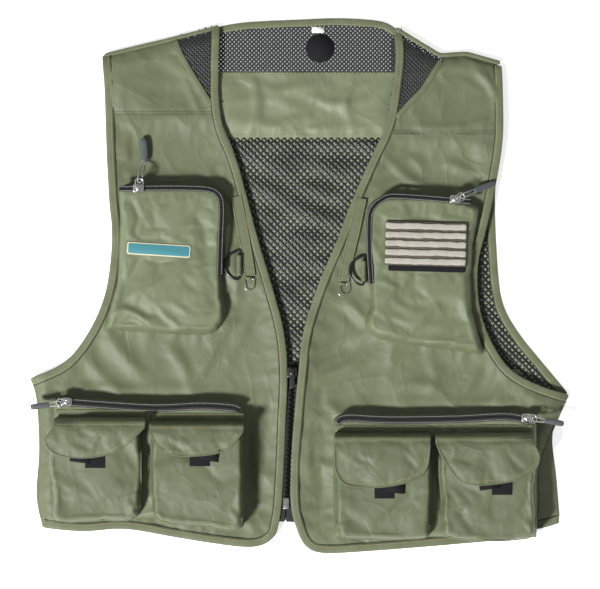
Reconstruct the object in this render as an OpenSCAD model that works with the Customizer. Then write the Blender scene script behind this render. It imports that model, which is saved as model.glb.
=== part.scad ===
// Fishing vest, laid flat on its back with the front facing up.
// +Y runs up towards the neck, +X to the right of someone looking at the front, +Z out of the front.
// Left and right in the names below are as seen from the front.

/* [Layers] */
// Thickness of the back shell cloth
back_t = 1; // [0.6:0.1:1.4]
// Thickness of the mesh lining on the back
lining_t = 0.8; // [0.4:0.1:1]
// Height of the underside of the fronts
front_z = 9; // [8.6:0.1:12]
// Thickness of the fronts with their lining
front_t = 1.4; // [1:0.1:2]
// Width of the bound edges
bind_w = 9; // [7:0.5:10]

/* [Pockets] */
// Depth of the chest pockets
chest_depth = 15; // [12:1:18]
// Depth of the lower main pockets
main_depth = 12; // [9:1:14]
// Depth of the bellows pockets on the lower pockets
bellows_depth = 20; // [16:1:24]
// Thickness of the pocket cloth
wall = 1.2; // [0.8:0.1:1.6]
// Width of the pocket zips
zip_w = 9; // [7:0.5:10]
// How far the pocket flaps rise between their seam and their fold
flap_run = 12; // [10:0.5:13]

/* [Hardware] */
// Radius of the D-rings to the middle of the rod
ring_r = 15.5; // [14:0.5:16]
// Radius of the D-ring rod
rod_r = 1.5; // [1.2:0.1:1.7]
// Diameter of the pull cords
cord_d = 1.5; // [1.2:0.1:1.6]
// Length of the fly patch
patch_w = 88; // [80:1:92]
// Height of the fly patch
patch_h = 47.5; // [44:0.5:48]

/* [Hidden] */
$fn = 48;
OLIVE = "#5f6549";
BOUND = "#6f7455";
BLACK = "#26282b";
STEEL = "#b9bcc0";
MESH = "#3a3d40";

// Heights
back_top = back_t + lining_t;
front_top = front_z + front_t;
bind_low = front_z - 0.8;
tape_low = bind_low - 0.8;
chest_top = front_top + chest_depth;
main_top = front_top + main_depth;
bellows_top = main_top + bellows_depth;
zip_t = 1;
gap = 0.3;
loop_t = 0.8;
hook_t = 0.6;
flap_low = bellows_top + loop_t + gap + hook_t;
flap_t = 1.2;
hinge_up = 1.1;
slider_t = 2.5;
pivot_up = slider_t + gap + 1.4;

// Points of a smooth line through the given points, n steps between each two
function between(a, b, c, d, t) = 0.5 * (2 * b + (c - a) * t
  + (2 * a - 5 * b + 4 * c - d) * t * t + (3 * b - a - 3 * c + d) * t * t * t);
function smooth(p, n = 4) = let (e = len(p) - 1) concat([
  for (i = [0 : e - 1], k = [0 : n - 1])
    between(p[max(i - 1, 0)], p[i], p[i + 1], p[min(i + 2, e)], k / n)], [p[e]]);
function back_to_front(p) = [for (i = [len(p) - 1 : -1 : 0]) p[i]];
// The line moved sideways to its left by d
function beside(p, d) = [for (i = [0 : len(p) - 1])
  let (t = p[min(i + 1, len(p) - 1)] - p[max(i - 1, 0)], l = norm(t))
  p[i] + d * [-t[1], t[0]] / l];
// A strip along a line, from a to b beside it
function strip(p, a, b) = concat(beside(p, a), back_to_front(beside(p, b)));
// A line without its first point, and a line made longer at both ends
function rest_of(p) = [for (i = [1 : len(p) - 1]) p[i]];
function longer(p, d) = let (e = len(p) - 1) concat(
  [p[0] + d * (p[0] - p[1]) / norm(p[0] - p[1])], p,
  [p[e] + d * (p[e] - p[e - 1]) / norm(p[e] - p[e - 1])]);
// What a bound edge takes off the cloth beside it
function cut(p, a, b) = strip(longer(p, 12), a, b);
function arc(c, r, a0, a1, n = 6) = [for (i = [0 : n])
  c + r * [cos(a0 + (a1 - a0) * i / n), sin(a0 + (a1 - a0) * i / n)]];
function rounded(w, h, r) = concat(
  arc([w / 2 - r, h / 2 - r], r, 0, 90), arc([r - w / 2, h / 2 - r], r, 90, 180),
  arc([r - w / 2, r - h / 2], r, 180, 270), arc([w / 2 - r, r - h / 2], r, 270, 360));

// Edges of the vest
arm_left = smooth([[-216, 252], [-213, 213], [-211, 150], [-208, 92], [-205, 60], [-207, 22],
  [-214, -14], [-230, -50], [-256, -83], [-294, -101]]);
side_left = smooth([[-294, -101], [-287, -124], [-284, -180], [-287, -230], [-280, -265]]);
hem_left = smooth([[-280, -265], [-236, -268.5], [-190, -266], [-133, -275.5], [-69, -285],
  [-42, -284], [-27, -274], [-23, -262]]);
edge_left = smooth([[-23, -262], [-20, -245], [-17, -200], [-15, -150], [-13, -96], [-17, -50],
  [-30, 0], [-45, 50], [-67, 132], [-87, 190], [-87, 284]]);
shoulder_left = [[-88, 283.8], [-146, 269], [-180, 261], [-214, 252.5]];
arm_right = smooth([[294, -119], [262, -109], [230, -91], [208, -58], [196, -20], [195, 24],
  [204, 62], [214, 108], [222, 160], [222, 213], [221, 241]]);
shoulder_right = [[219, 241.6], [182, 252], [153, 250], [104, 279.6]];
edge_right = smooth([[102, 280], [105, 252], [101, 213], [94, 175], [77, 138], [56, 90],
  [41, 50], [20, 0], [4, -50], [-1, -90], [-6.5, -150], [-10, -200], [-9, -245], [0, -275]]);
hem_right = smooth([[0, -275], [9, -287], [28, -292.5], [77, -290], [154, -284], [221, -278],
  [256, -274]]);
bound_left = concat(hem_left, rest_of(edge_left));
bound_right = concat(edge_right, rest_of(hem_right));
side_right = smooth([[256, -274], [262, -240], [262, -200], [274, -165], [294, -119]]);
back_arm_right = smooth([[218, 240], [219, 160], [214, 98], [216, 33], [222, -18], [240, -52],
  [264, -82], [294, -118]]);
back_side_right = smooth([[294, -118], [277, -160], [281, -210], [285, -260]]);
back_hem = smooth([[285, -260], [240, -268], [100, -262], [-20, -257], [-150, -258],
  [-278, -262]]);
back_side_left = smooth([[-278, -262], [-284, -230], [-281, -180], [-284, -124], [-290, -104]]);
back_arm_left = back_to_front(beside(arm_left, 4));
neck_top = smooth([[-94, 282], [-60, 288], [0, 291], [45, 292.5], [90, 289], [108, 279]]);
yoke_left_y = 185;
yoke_right_y = 164;
neck_mesh_y = 233;

// Lines of the zips
front_zip = [[-7.6, -88], [-14.6, -244]];
chest_zip_line_left = smooth([[-196, 105], [-150, 106], [-104, 105], [-90, 100], [-85, 88],
  [-86, 50], [-87, 12]]);
chest_zip_line_right = smooth([[186, 91], [108, 97], [91, 94], [80, 85], [76, 72], [76, 37],
  [78, 2]]);
lower_zip_line_left = smooth([[-263, -126], [-223, -129], [-158, -133], [-108, -131],
  [-74, -133], [-66, -136]]);
lower_zip_line_right = smooth([[250, -147], [223, -142.5], [173, -145], [96, -146], [52, -144],
  [41, -149]]);

// Seams of the flaps, as their y and their ends in x
FLAPS = [[-142, -266, -167], [-146, -162, -60], [-159, 38, 142], [-159, 147, 254]];
FLAP_EDGES = [
  smooth([[-266, -154], [-276, -167], [-266, -182], [-240, -187], [-214, -185], [-192, -177],
    [-167, -154]]),
  smooth([[-162, -158], [-157, -171], [-140, -183], [-112, -185], [-80, -179], [-60, -158]]),
  smooth([[38, -171], [38, -198], [50, -216], [84, -219], [122, -212], [138, -198],
    [142, -171]]),
  smooth([[147, -171], [158, -193], [176, -213], [205, -216], [244, -208], [260, -190],
    [254, -171]])];
BELLOWS = [
  smooth([[-262, -157], [-272, -178], [-273, -200], [-268, -228], [-266, -256], [-215, -256],
    [-176, -251], [-170, -200], [-172, -157]], 2),
  smooth([[-161, -161], [-163, -195], [-161, -232], [-153, -256], [-108, -262], [-68, -266],
    [-60, -240], [-60, -161]], 2),
  smooth([[38, -174], [37, -235], [42, -270], [60, -276], [130, -276], [142, -264],
    [145, -205], [142, -174]], 2),
  smooth([[151, -174], [150, -205], [153, -232], [154, -262], [168, -276], [248, -276],
    [257, -255], [256, -222], [259, -190], [252, -174]], 2)];

// Pulls: where each turns, which way it points, where its grip starts, how far that end hangs
// down, how far the grip tips down, and the grip's length and width
chest_z = chest_top + zip_t + pivot_up;
lower_z = main_top + zip_t + pivot_up;
PULL_CHEST_LEFT = [[-175, 105.5, chest_z], 80, 30, 17, 0, [25, 8]];
PULL_CHEST_RIGHT = [[169, 93.5, chest_z], 24, 24, 13, 9, [24, 7]];
PULL_LOWER_LEFT = [[-253, -126.8, lower_z], 188, 20, 1.8, 0, [20, 6.5]];
PULL_LOWER_RIGHT = [[247, -144, lower_z], -8, 20, 1.8, 0, [21, 6.5]];
LONG_CORD = [[30, 1.6, -17], [26, 1.8, -15.6], [22, 2, -10.8], [18, 2.2, -4.8], [14, 2.2, -0.2],
  [10.4, 2.2, 1.5], [8.2, 2, 1.1], [6.6, 1.2, 0.5], [6.1, 0, 0], [6.6, -1.2, -0.5],
  [8.2, -2, -1.1], [10.4, -2.2, -1.6], [14, -2.2, -2.8], [18, -2.2, -7], [22, -2, -12.6],
  [26, -1.8, -16.2], [30, -1.6, -17]];
MIDDLE_CORD = [[24, 1.6, -13], [21, 1.8, -10.4], [18, 2, -6.4], [14.6, 2.2, -1.4],
  [10.4, 2.2, 1.5], [8.2, 2, 1.1], [6.6, 1.2, 0.5], [6.1, 0, 0], [6.6, -1.2, -0.5],
  [8.2, -2, -1.1], [10.4, -2.2, -1.6], [14.2, -2.2, -3.8], [18, -2, -8.2],
  [21, -1.8, -11.4], [24, -1.6, -13]];
SHORT_CORD = [[20, 1.6, -1.8], [17, 1.9, -1], [14, 2.2, 0.6], [10.6, 2.2, 1.4], [8.2, 2, 1.1],
  [6.6, 1.2, 0.5], [6.1, 0, 0], [6.6, -1.2, -0.5], [8.2, -2, -1.1], [10.4, -2.2, -1.6],
  [13.6, -2.2, -2], [17, -1.9, -2.1], [20, -1.6, -1.8]];

module plate(points, low, high) {
  translate([0, 0, low]) linear_extrude(high - low) polygon(points);
}
module slab(low, high) {
  translate([0, 0, low]) linear_extrude(high - low) children();
}
module above(y) {
  intersection() {
    children();
    translate([-400, y]) square([800, 400]);
  }
}
module below(y) {
  intersection() {
    children();
    translate([-400, y - 700]) square([800, 700]);
  }
}

// Back
module back_outline() {
  polygon(concat(back_arm_right, rest_of(back_side_right), rest_of(back_hem),
    rest_of(back_side_left), back_arm_left,
    [[-146, 265], [-100, 276], [104, 276], [153, 246], [182, 248]]));
}
module back_inside() {
  difference() {
    back_outline();
    polygon(cut(back_arm_right, 2, -bind_w));
    polygon(cut(back_arm_left, 2, -bind_w));
    polygon(cut(back_hem, 2, -bind_w));
  }
}
module back_shell() {
  color(OLIVE) slab(0, back_t) difference() {
    back_inside();
    translate([-128, neck_mesh_y]) square([262, 100]);
  }
}
module back_lining_mesh() {
  color(MESH) slab(back_t, back_top) intersection() {
    back_inside();
    translate([-260, -240]) square([500, 402]);
  }
}
module back_yoke() {
  color(OLIVE) slab(back_t, back_top) intersection() {
    back_inside();
    translate([-180, 162]) square([360, neck_mesh_y - 162]);
  }
}
module neck_mesh() {
  color(MESH) slab(0, back_t) intersection() {
    polygon(concat(beside(neck_top, -8), [[134, 262], [134, 233], [-128, 233], [-128, 266]]));
    translate([-128, neck_mesh_y]) square([262, 60]);
  }
}
module back_bindings() {
  color(BOUND) slab(0, back_top) {
    polygon(strip(back_arm_right, 0, -bind_w));
    polygon(strip(back_arm_left, 0, -bind_w));
    polygon(strip(back_hem, 0, -bind_w));
  }
}
module neck_binding() {
  color(BOUND) plate(strip(neck_top, 0, -8), 0, 3);
}
module size_label() {
  color("white") plate([[13.5, 276], [27, 276], [27, 282.5], [13.5, 282.5]], back_t, back_t + 0.4);
}
module neck_patch() {
  color(BLACK) translate([22.5, 259.5, back_t]) cylinder(r = 15.5, h = loop_t);
}

// Fronts
module front_left_whole() {
  difference() {
    polygon(concat(arm_left, rest_of(side_left), rest_of(bound_left), shoulder_left));
    polygon(cut(arm_left, -2, bind_w));
    polygon(cut(bound_left, -2, bind_w));
  }
}
module front_right_whole() {
  difference() {
    polygon(concat(arm_right, shoulder_right, rest_of(edge_right), rest_of(hem_right),
      rest_of(side_right)));
    polygon(cut(arm_right, -2, bind_w));
    polygon(cut(hem_right, -2, bind_w));
    polygon(cut(edge_right, -2, bind_w));
  }
}
module mesh_corner_left() {
  polygon([[-136, 290], [-136, 268], [-131, 254], [-119, 233], [-96, 196], [-60, 196], [-60, 290]]);
}
module mesh_corner_right() {
  polygon([[155, 290], [155, 246], [135, 214], [119, 198], [106, 183], [80, 183], [80, 290]]);
}
module front_yokes() {
  color(OLIVE) {
    slab(front_z, front_top) above(yoke_left_y) difference() {
      front_left_whole();
      mesh_corner_left();
    }
    slab(front_z, front_top) above(yoke_right_y) difference() {
      front_right_whole();
      mesh_corner_right();
    }
  }
}
module shoulder_mesh() {
  color(MESH) {
    slab(front_z, front_top) above(yoke_left_y) intersection() {
      front_left_whole();
      mesh_corner_left();
    }
    slab(front_z, front_top) above(yoke_right_y) intersection() {
      front_right_whole();
      mesh_corner_right();
    }
  }
}
module front_panel_left() {
  color(OLIVE) slab(front_z, front_top) below(yoke_left_y) front_left_whole();
}
module front_panel_right() {
  color(OLIVE) slab(front_z, front_top) below(yoke_right_y) front_right_whole();
}
module side_and_shoulder_seams() {
  seam = 2.4;
  color(BOUND) {
    plate([[-288.6, -118], [-284, -180], [-284 + seam, -180], [-288.6 + seam, -118]], back_t, front_z);
    plate([[-284, -180], [-284, -248], [-284 + seam, -248], [-284 + seam, -180]], back_t, front_z);
    plate([[287, -136], [275, -164], [275 - seam, -164], [287 - seam, -136]], back_t, front_z);
    plate([[263, -200], [263, -254], [263 - seam, -254], [263 - seam, -200]], back_top, front_z);
    plate([[-200, 253.2], [-146, 266], [-146, 266 - seam], [-200, 253.2 - seam]], back_t, front_z);
    plate([[-146, 266], [-100, 277], [-100, 277 - seam], [-146, 266 - seam]], back_t, front_z);
    plate([[206, 242.6], [182, 249], [182, 249 - seam], [206, 242.6 - seam]], back_t, front_z);
    plate([[153, 247], [116, 269], [116, 269 - seam], [153, 247 - seam]], back_t, front_z);
  }
}
module armhole_binding_left() {
  color(BOUND) plate(strip(arm_left, 0, bind_w), bind_low, front_top);
}
module armhole_binding_right() {
  color(BOUND) plate(strip(arm_right, 0, bind_w), bind_low, front_top);
}
module front_binding_left() {
  color(BOUND) plate(strip(bound_left, 0, bind_w), bind_low, front_top);
}
module front_binding_right() {
  color(BOUND) plate(strip(bound_right, 0, bind_w), bind_low, front_top);
}

// Front zip
module front_zip_tapes() {
  color(BLACK) plate(strip([front_zip[0], [-15.4, -258]], -11, 11), tape_low, bind_low);
}
module front_zip_teeth() {
  color(BLACK) plate(strip([front_zip[0], [-14.05, -231]], -2, 2), bind_low, front_top - 0.2);
  color(STEEL) translate([-14.6, -238, bind_low]) linear_extrude(2.6) polygon(rounded(6, 12, 1));
}
module slider_plate(high, along, across) {
  linear_extrude(high) polygon(rounded(along, across, 2.2));
}
module ears() {
  for (s = [-1, 1]) translate([0, 3.9 * s, -1.6]) difference() {
    translate([-1.7, -0.5, 0]) cube([3.4, 1, 3.1]);
    translate([0, 0, 1.6]) rotate([90, 0, 0]) cylinder(r = 0.9, h = 3, center = true);
  }
}
module front_slider() {
  color(BLACK) translate([-8.1, -95, 0]) {
    slab(front_top + 0.1, front_top + 1.1) square([2.6, 9], center = true);
    slab(front_top + 0.9, front_top + 3.1) polygon(rounded(10.4, 11, 2.2));
    translate([0, 0, front_top + 4.5]) rotate(-90) ears();
  }
}
module front_tab() {
  color(BLACK) translate([-8.1, -95, front_top + 4.5]) rotate(-90) {
    rotate([90, 0, 0]) cylinder(r = 0.75, h = 8.6, center = true);
    difference() {
      slab(-0.6, 0.6) translate([8, 0]) polygon(rounded(17, 5.6, 1.8));
      for (u = [7, 12]) translate([u, 0, -2]) cylinder(r = 1.1, h = 4);
    }
  }
}

// Pockets
module tray(points, low, high, mouth) {
  difference() {
    plate(points, low, high);
    translate([0, 0, low - 1]) linear_extrude(high - low + 1 - wall) offset(delta = -wall) polygon(points);
    if (mouth != 0) translate([-300, mouth, low - 1]) cube([600, 40, high - low + 1 - wall]);
  }
}
CHEST_LEFT = concat(smooth([[-198, 108], [-150, 109.5], [-106, 109], [-87, 103], [-81, 88],
  [-83, 50], [-84, 0], [-80, -28], [-87, -46], [-106, -54], [-170, -51], [-213, -48]], 3),
  [[-206, -20], [-199, 4], [-197, 47], [-196, 75]]);
CHEST_RIGHT = concat(smooth([[197, 86], [165, 96], [108, 100], [89, 97], [76, 88], [72, 72],
  [73, 37], [77, 0], [77, -22], [71, -42], [86, -58], [146, -68], [206, -76]], 3),
  [[199, -66], [189, -28], [187, 10], [190, 45]]);
MAIN_LEFT = concat(smooth([[-268, -122], [-223, -123], [-158, -127.5], [-108, -125.5],
  [-70, -127], [-60, -138]], 3), [[-60, -266], [-154, -255], [-268, -255]]);
MAIN_RIGHT = concat(smooth([[37, -146], [52, -138], [96, -140], [173, -139], [223, -137],
  [250, -140], [259, -150]], 3), [[259, -275], [37, -275]]);
module chest_pocket_left() {
  color(OLIVE) tray(CHEST_LEFT, front_top, chest_top, 0);
}
module chest_pocket_right() {
  color(OLIVE) tray(CHEST_RIGHT, front_top, chest_top, 0);
}
module lower_pocket_left() {
  color(OLIVE) tray(MAIN_LEFT, front_top, main_top, 0);
}
module lower_pocket_right() {
  color(OLIVE) tray(MAIN_RIGHT, front_top, main_top, 0);
}
module bellows(i) {
  tray(BELLOWS[i], main_top, bellows_top, FLAPS[i][0] - flap_run - 6);
}
module bellows_pockets_left() {
  color(OLIVE) for (i = [0, 1]) bellows(i);
}
module bellows_pockets_right() {
  color(OLIVE) for (i = [2, 3]) bellows(i);
}
module zip_band(line, low, width) {
  color(BLACK) plate(strip(line, -width / 2, width / 2), low, low + zip_t);
}
module chest_zip_left() {
  zip_band(chest_zip_line_left, chest_top, 6);
}
module chest_zip_right() {
  zip_band(chest_zip_line_right, chest_top, 6);
}
module lower_zip_left() {
  zip_band(lower_zip_line_left, main_top, zip_w);
}
module lower_zip_right() {
  zip_band(lower_zip_line_right, main_top, zip_w);
}
module flap(i) {
  y = FLAPS[i][0];
  x0 = FLAPS[i][1];
  x1 = FLAPS[i][2];
  axis_z = main_top + hinge_up;
  fold = [y - flap_run, flap_low + flap_t / 2];
  color(OLIVE) {
    translate([x0, y, axis_z]) rotate([0, 90, 0]) cylinder(r = 0.9, h = x1 - x0);
    translate([x0, 0, 0]) rotate([90, 0, 90]) linear_extrude(x1 - x0)
      polygon(strip([[y, axis_z], fold], -flap_t / 2, flap_t / 2));
    plate(concat(FLAP_EDGES[i], [[x1, fold[0] + 0.2], [x0, fold[0] + 0.2]]), flap_low,
      flap_low + flap_t);
  }
  color(BLACK) translate([PATCH_X[i], PATCH_Y[i] + 10, flap_low - hook_t]) linear_extrude(hook_t)
    square([22, 14], center = true);
}
// Middles of the loop patches on the bellows pockets
PATCH_X = [-221, -108, 92, 219];
PATCH_Y = [-187, -185, -220, -216];
module loop_patches() {
  color(BLACK) for (i = [0 : 3]) translate([PATCH_X[i], PATCH_Y[i], bellows_top]) {
    linear_extrude(loop_t) square([25, 28], center = true);
  }
}
module flap_outer_left() {
  flap(0);
}
module flap_inner_left() {
  flap(1);
}
module flap_inner_right() {
  flap(2);
}
module flap_outer_right() {
  flap(3);
}
module chest_badge() {
  color("teal") translate([-153, 38.7, chest_top]) rotate(-3.6) linear_extrude(0.7)
    polygon(rounded(69, 13.5, 2.5));
}
module fly_patch_base() {
  color(BLACK) translate([139, 41, chest_top]) rotate(-1.5) linear_extrude(loop_t)
    polygon(rounded(84, 52, 2));
}
module fly_patch() {
  ribs = 5;
  pitch = patch_h / ribs;
  color("beige") translate([137, 45, chest_top + loop_t + gap]) rotate(-1.5) {
    linear_extrude(2) square([patch_w, patch_h], center = true);
    for (i = [0 : ribs - 1]) translate([0, (i - (ribs - 1) / 2) * pitch, 2])
      linear_extrude(2.4) square([patch_w, pitch - 2], center = true);
  }
}

// Pulls
module at_pull(p) {
  translate(p[0]) rotate(p[1]) children();
}
module slider(p, turn) {
  color(STEEL) {
    translate([p[0][0], p[0][1], p[0][2] - pivot_up + gap]) rotate(turn) slider_plate(slider_t, 12, 9);
    at_pull(p) ears();
  }
}
module tab(p) {
  color(STEEL) at_pull(p) {
    rotate([90, 0, 0]) cylinder(r = 0.75, h = 8.6, center = true);
    slab(-0.5, 0.5) difference() {
      union() {
        translate([0, -2.6]) square([5, 5.2]);
        translate([7.2, 0]) polygon(rounded(7.4, 9.4, 2));
      }
      translate([4.9, -3.1]) square([4.6, 6.2]);
    }
  }
}
// A round tube along a line of points, closed at both ends
module tube(points, r) {
  n = 8;
  e = len(points) - 1;
  rings = [for (i = [0 : e])
    let (t = points[min(i + 1, e)] - points[max(i - 1, 0)], d = t / norm(t),
      side = cross([0, 0, 1], d) / norm(cross([0, 0, 1], d)), up = cross(d, side))
    for (k = [0 : n - 1]) points[i] + r * (cos(360 * k / n) * side + sin(360 * k / n) * up)];
  faces = concat(
    [[for (k = [0 : n - 1]) k]],
    [for (i = [0 : e - 1], k = [0 : n - 1]) let (a = i * n + k, b = i * n + (k + 1) % n)
      [a, a + n, b + n, b]],
    [[for (k = [n - 1 : -1 : 0]) e * n + k]]);
  polyhedron(rings, faces, convexity = 6);
}
module cord(p, points) {
  color("lightgray") at_pull(p) tube(smooth(points, 2), cord_d / 2);
}
module grip(p) {
  size = p[5];
  color("#5b6268") at_pull(p) translate([p[2], 0, -p[3]]) rotate([0, p[4], 0])
    translate([size[0] / 2, 0, -2.2]) linear_extrude(4.4) polygon(rounded(size[0], size[1], 2.4));
}
module chest_slider_left() {
  slider(PULL_CHEST_LEFT, 0);
}
module chest_slider_right() {
  slider(PULL_CHEST_RIGHT, -3);
}
module lower_slider_left() {
  slider(PULL_LOWER_LEFT, -4);
}
module lower_slider_right() {
  slider(PULL_LOWER_RIGHT, 0);
}
module chest_tab_left() {
  tab(PULL_CHEST_LEFT);
}
module chest_tab_right() {
  tab(PULL_CHEST_RIGHT);
}
module lower_tab_left() {
  tab(PULL_LOWER_LEFT);
}
module lower_tab_right() {
  tab(PULL_LOWER_RIGHT);
}
module chest_cord_left() {
  cord(PULL_CHEST_LEFT, LONG_CORD);
}
module chest_cord_right() {
  cord(PULL_CHEST_RIGHT, MIDDLE_CORD);
}
module lower_cord_left() {
  cord(PULL_LOWER_LEFT, SHORT_CORD);
}
module lower_cord_right() {
  cord(PULL_LOWER_RIGHT, SHORT_CORD);
}
module chest_grip_left() {
  grip(PULL_CHEST_LEFT);
}
module chest_grip_right() {
  grip(PULL_CHEST_RIGHT);
}
module lower_grip_left() {
  grip(PULL_LOWER_LEFT);
}
module lower_grip_right() {
  grip(PULL_LOWER_RIGHT);
}

// Rings and loops
strap_t = 1;
RING_LEFT = [-66, 22];
RING_RIGHT = [70, 16];
ring_z = front_top + strap_t + 0.1 + 2.9;
LOOP_LEFT = [-55, 8];
LOOP_RIGHT = [47, 2];
loop_z = front_top + 1.6;
module tool_strips() {
  color(OLIVE) {
    plate([[-73, 98], [-66, 98], [-46, 9.8], [-62, 9.8]], front_top, front_top + strap_t);
    plate([[64, 96], [71, 96], [57, 3.8], [39, 3.8]], front_top, front_top + strap_t);
    for (p = [RING_LEFT, RING_RIGHT]) translate([p[0], p[1], ring_z]) difference() {
      rotate([90, 0, 0]) cylinder(r = 2.9, h = 24, center = true);
      rotate([90, 0, 0]) cylinder(r = rod_r + 0.35, h = 26, center = true);
    }
    for (p = [LOOP_LEFT, LOOP_RIGHT]) translate([p[0], p[1], loop_z]) difference() {
      rotate([0, 90, 0]) cylinder(r = 1.5, h = 7.4, center = true);
      rotate([0, 90, 0]) cylinder(r = 0.95, h = 9, center = true);
    }
  }
}
module d_ring(p) {
  color(BLACK) translate([p[0], p[1], ring_z]) {
    rotate([90, 0, 0]) cylinder(r = rod_r, h = 2 * ring_r, center = true);
    rotate(90) rotate_extrude(angle = 180, $fn = 48) translate([ring_r, 0]) circle(r = rod_r);
    for (s = [-1, 1]) translate([0, s * ring_r, 0]) sphere(r = rod_r);
  }
}
module d_ring_left() {
  d_ring(RING_LEFT);
}
module d_ring_right() {
  d_ring(RING_RIGHT);
}
module wire_loop(p) {
  wire = 0.6;
  half = 5;
  color(STEEL) translate([p[0], p[1], loop_z]) {
    rotate([0, 90, 0]) cylinder(r = wire, h = 2 * half, center = true);
    for (s = [-1, 1]) translate([s * half, 0, 0]) {
      rotate([90, 0, 0]) cylinder(r = wire, h = 9);
      sphere(r = wire);
    }
    translate([0, -9, 0]) rotate(180) rotate_extrude(angle = 180, $fn = 48)
      translate([half, 0]) circle(r = wire);
  }
}
module wire_loop_left() {
  wire_loop(LOOP_LEFT);
}
module wire_loop_right() {
  wire_loop(LOOP_RIGHT);
}

back_shell();
back_lining_mesh();
back_yoke();
neck_mesh();
front_yokes();
shoulder_mesh();
front_panel_left();
front_panel_right();
side_and_shoulder_seams();
armhole_binding_left();
armhole_binding_right();
back_bindings();
neck_binding();
front_binding_left();
front_binding_right();
size_label();
neck_patch();
front_zip_tapes();
front_zip_teeth();
front_slider();
front_tab();
chest_pocket_left();
chest_pocket_right();
chest_zip_left();
chest_zip_right();
chest_slider_left();
chest_slider_right();
chest_tab_left();
chest_tab_right();
chest_cord_left();
chest_cord_right();
chest_grip_left();
chest_grip_right();
chest_badge();
fly_patch();
fly_patch_base();
d_ring_left();
d_ring_right();
tool_strips();
wire_loop_left();
wire_loop_right();
lower_pocket_left();
lower_pocket_right();
lower_zip_left();
lower_zip_right();
lower_slider_left();
lower_slider_right();
lower_tab_left();
lower_tab_right();
lower_cord_left();
lower_cord_right();
lower_grip_left();
lower_grip_right();
bellows_pockets_left();
bellows_pockets_right();
flap_outer_left();
flap_inner_left();
flap_inner_right();
flap_outer_right();
loop_patches();
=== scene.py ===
"""A fishing vest laid flat on its back: cloth body, mesh, pockets, zips, pulls, rings and patch."""
import logging
import math
from collections.abc import Callable, Sequence
from dataclasses import dataclass, field
from enum import Enum

import bmesh
import bpy
import numpy as np
from mathutils import Matrix, Vector
from mathutils.bvhtree import BVHTree


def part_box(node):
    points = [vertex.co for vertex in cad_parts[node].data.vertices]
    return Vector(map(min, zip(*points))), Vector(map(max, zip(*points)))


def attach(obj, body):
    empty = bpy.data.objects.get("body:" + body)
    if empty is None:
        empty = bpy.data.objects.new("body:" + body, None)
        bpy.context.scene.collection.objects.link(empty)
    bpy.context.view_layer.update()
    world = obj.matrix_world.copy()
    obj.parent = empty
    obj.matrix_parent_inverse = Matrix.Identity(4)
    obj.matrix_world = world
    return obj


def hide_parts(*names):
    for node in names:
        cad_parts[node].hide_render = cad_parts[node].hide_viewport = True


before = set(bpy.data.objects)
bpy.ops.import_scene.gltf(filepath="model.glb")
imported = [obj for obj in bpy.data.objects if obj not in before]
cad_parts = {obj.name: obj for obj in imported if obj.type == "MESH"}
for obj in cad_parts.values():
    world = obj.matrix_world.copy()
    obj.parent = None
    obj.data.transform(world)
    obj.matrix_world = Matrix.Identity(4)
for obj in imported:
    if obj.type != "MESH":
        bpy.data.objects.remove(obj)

log = logging.getLogger("fishing_vest")
MM = 0.001
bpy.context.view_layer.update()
Points = Sequence[Sequence[float]]
Height = Callable[[np.ndarray, np.ndarray], np.ndarray]


# ---------------------------------------------------------------- lines and fields, in millimetres
def smooth(points: Points, steps: int = 4) -> np.ndarray:
    """A smooth line through given points.

    Args:
        points: the points, two or three numbers each.
        steps: how many stretches each gap between two points is cut into.

    Returns:
        The line's points, one row each.
    """
    p = np.asarray(points, float)
    q = np.vstack([p[0], p, p[-1]])
    t = (np.arange(steps) / steps)[:, None]
    parts = [
        0.5 * (2 * b + (c - a) * t + (2 * a - 5 * b + 4 * c - d) * t**2 + (3 * b - a - 3 * c + d) * t**3)
        for a, b, c, d in zip(q, q[1:], q[2:], q[3:])
    ]
    return np.vstack([*parts, p[-1]])


def even(line: np.ndarray, step: float) -> np.ndarray:
    """The same line with its points an even step apart.

    Args:
        line: the line's points.
        step: the wished distance between points.

    Returns:
        The new points.
    """
    along = np.r_[0, np.cumsum(np.linalg.norm(np.diff(line, axis=0), axis=1))]
    at = np.linspace(0, along[-1], max(2, round(along[-1] / step) + 1))
    return np.stack([np.interp(at, along, line[:, k]) for k in range(line.shape[1])], 1)


def beside(line: np.ndarray, d: float) -> np.ndarray:
    """The line moved sideways.

    Args:
        line: a flat line.
        d: how far, to the left of its direction.

    Returns:
        The moved points.
    """
    t = np.gradient(line, axis=0)
    t /= np.maximum(np.linalg.norm(t, axis=1), 1e-9)[:, None]
    return line + d * np.stack([-t[:, 1], t[:, 0]], 1)


def off_line(points: np.ndarray, line: np.ndarray) -> tuple[np.ndarray, np.ndarray]:
    """How far points are from a line.

    Args:
        points: flat points.
        line: the line.

    Returns:
        The distances, and the nearest places on the line.
    """
    best = np.full(len(points), np.inf)
    place = points.copy()
    for a, b in zip(line, line[1:]):
        ab = b - a
        t = np.clip((points - a) @ ab / max(ab @ ab, 1e-9), 0, 1)
        q = a + t[:, None] * ab
        d = np.linalg.norm(points - q, axis=1)
        near = d < best
        best[near], place[near] = d[near], q[near]
    return best, place


def closed(outline: np.ndarray) -> np.ndarray:
    """The outline as a line that ends where it starts."""
    return np.vstack([outline, outline[:1]])


def inside(points: np.ndarray, outline: np.ndarray) -> np.ndarray:
    """Which points lie inside a closed outline.

    Args:
        points: flat points.
        outline: its corners, in order.

    Returns:
        One truth value for each point.
    """
    x, y = points.T
    within = np.zeros(len(points), bool)
    for (ax, ay), (bx, by) in zip(outline, np.roll(outline, -1, 0)):
        if ay != by:
            within ^= ((ay > y) != (by > y)) & (x < (bx - ax) * (y - ay) / (by - ay) + ax)
    return within


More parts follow.
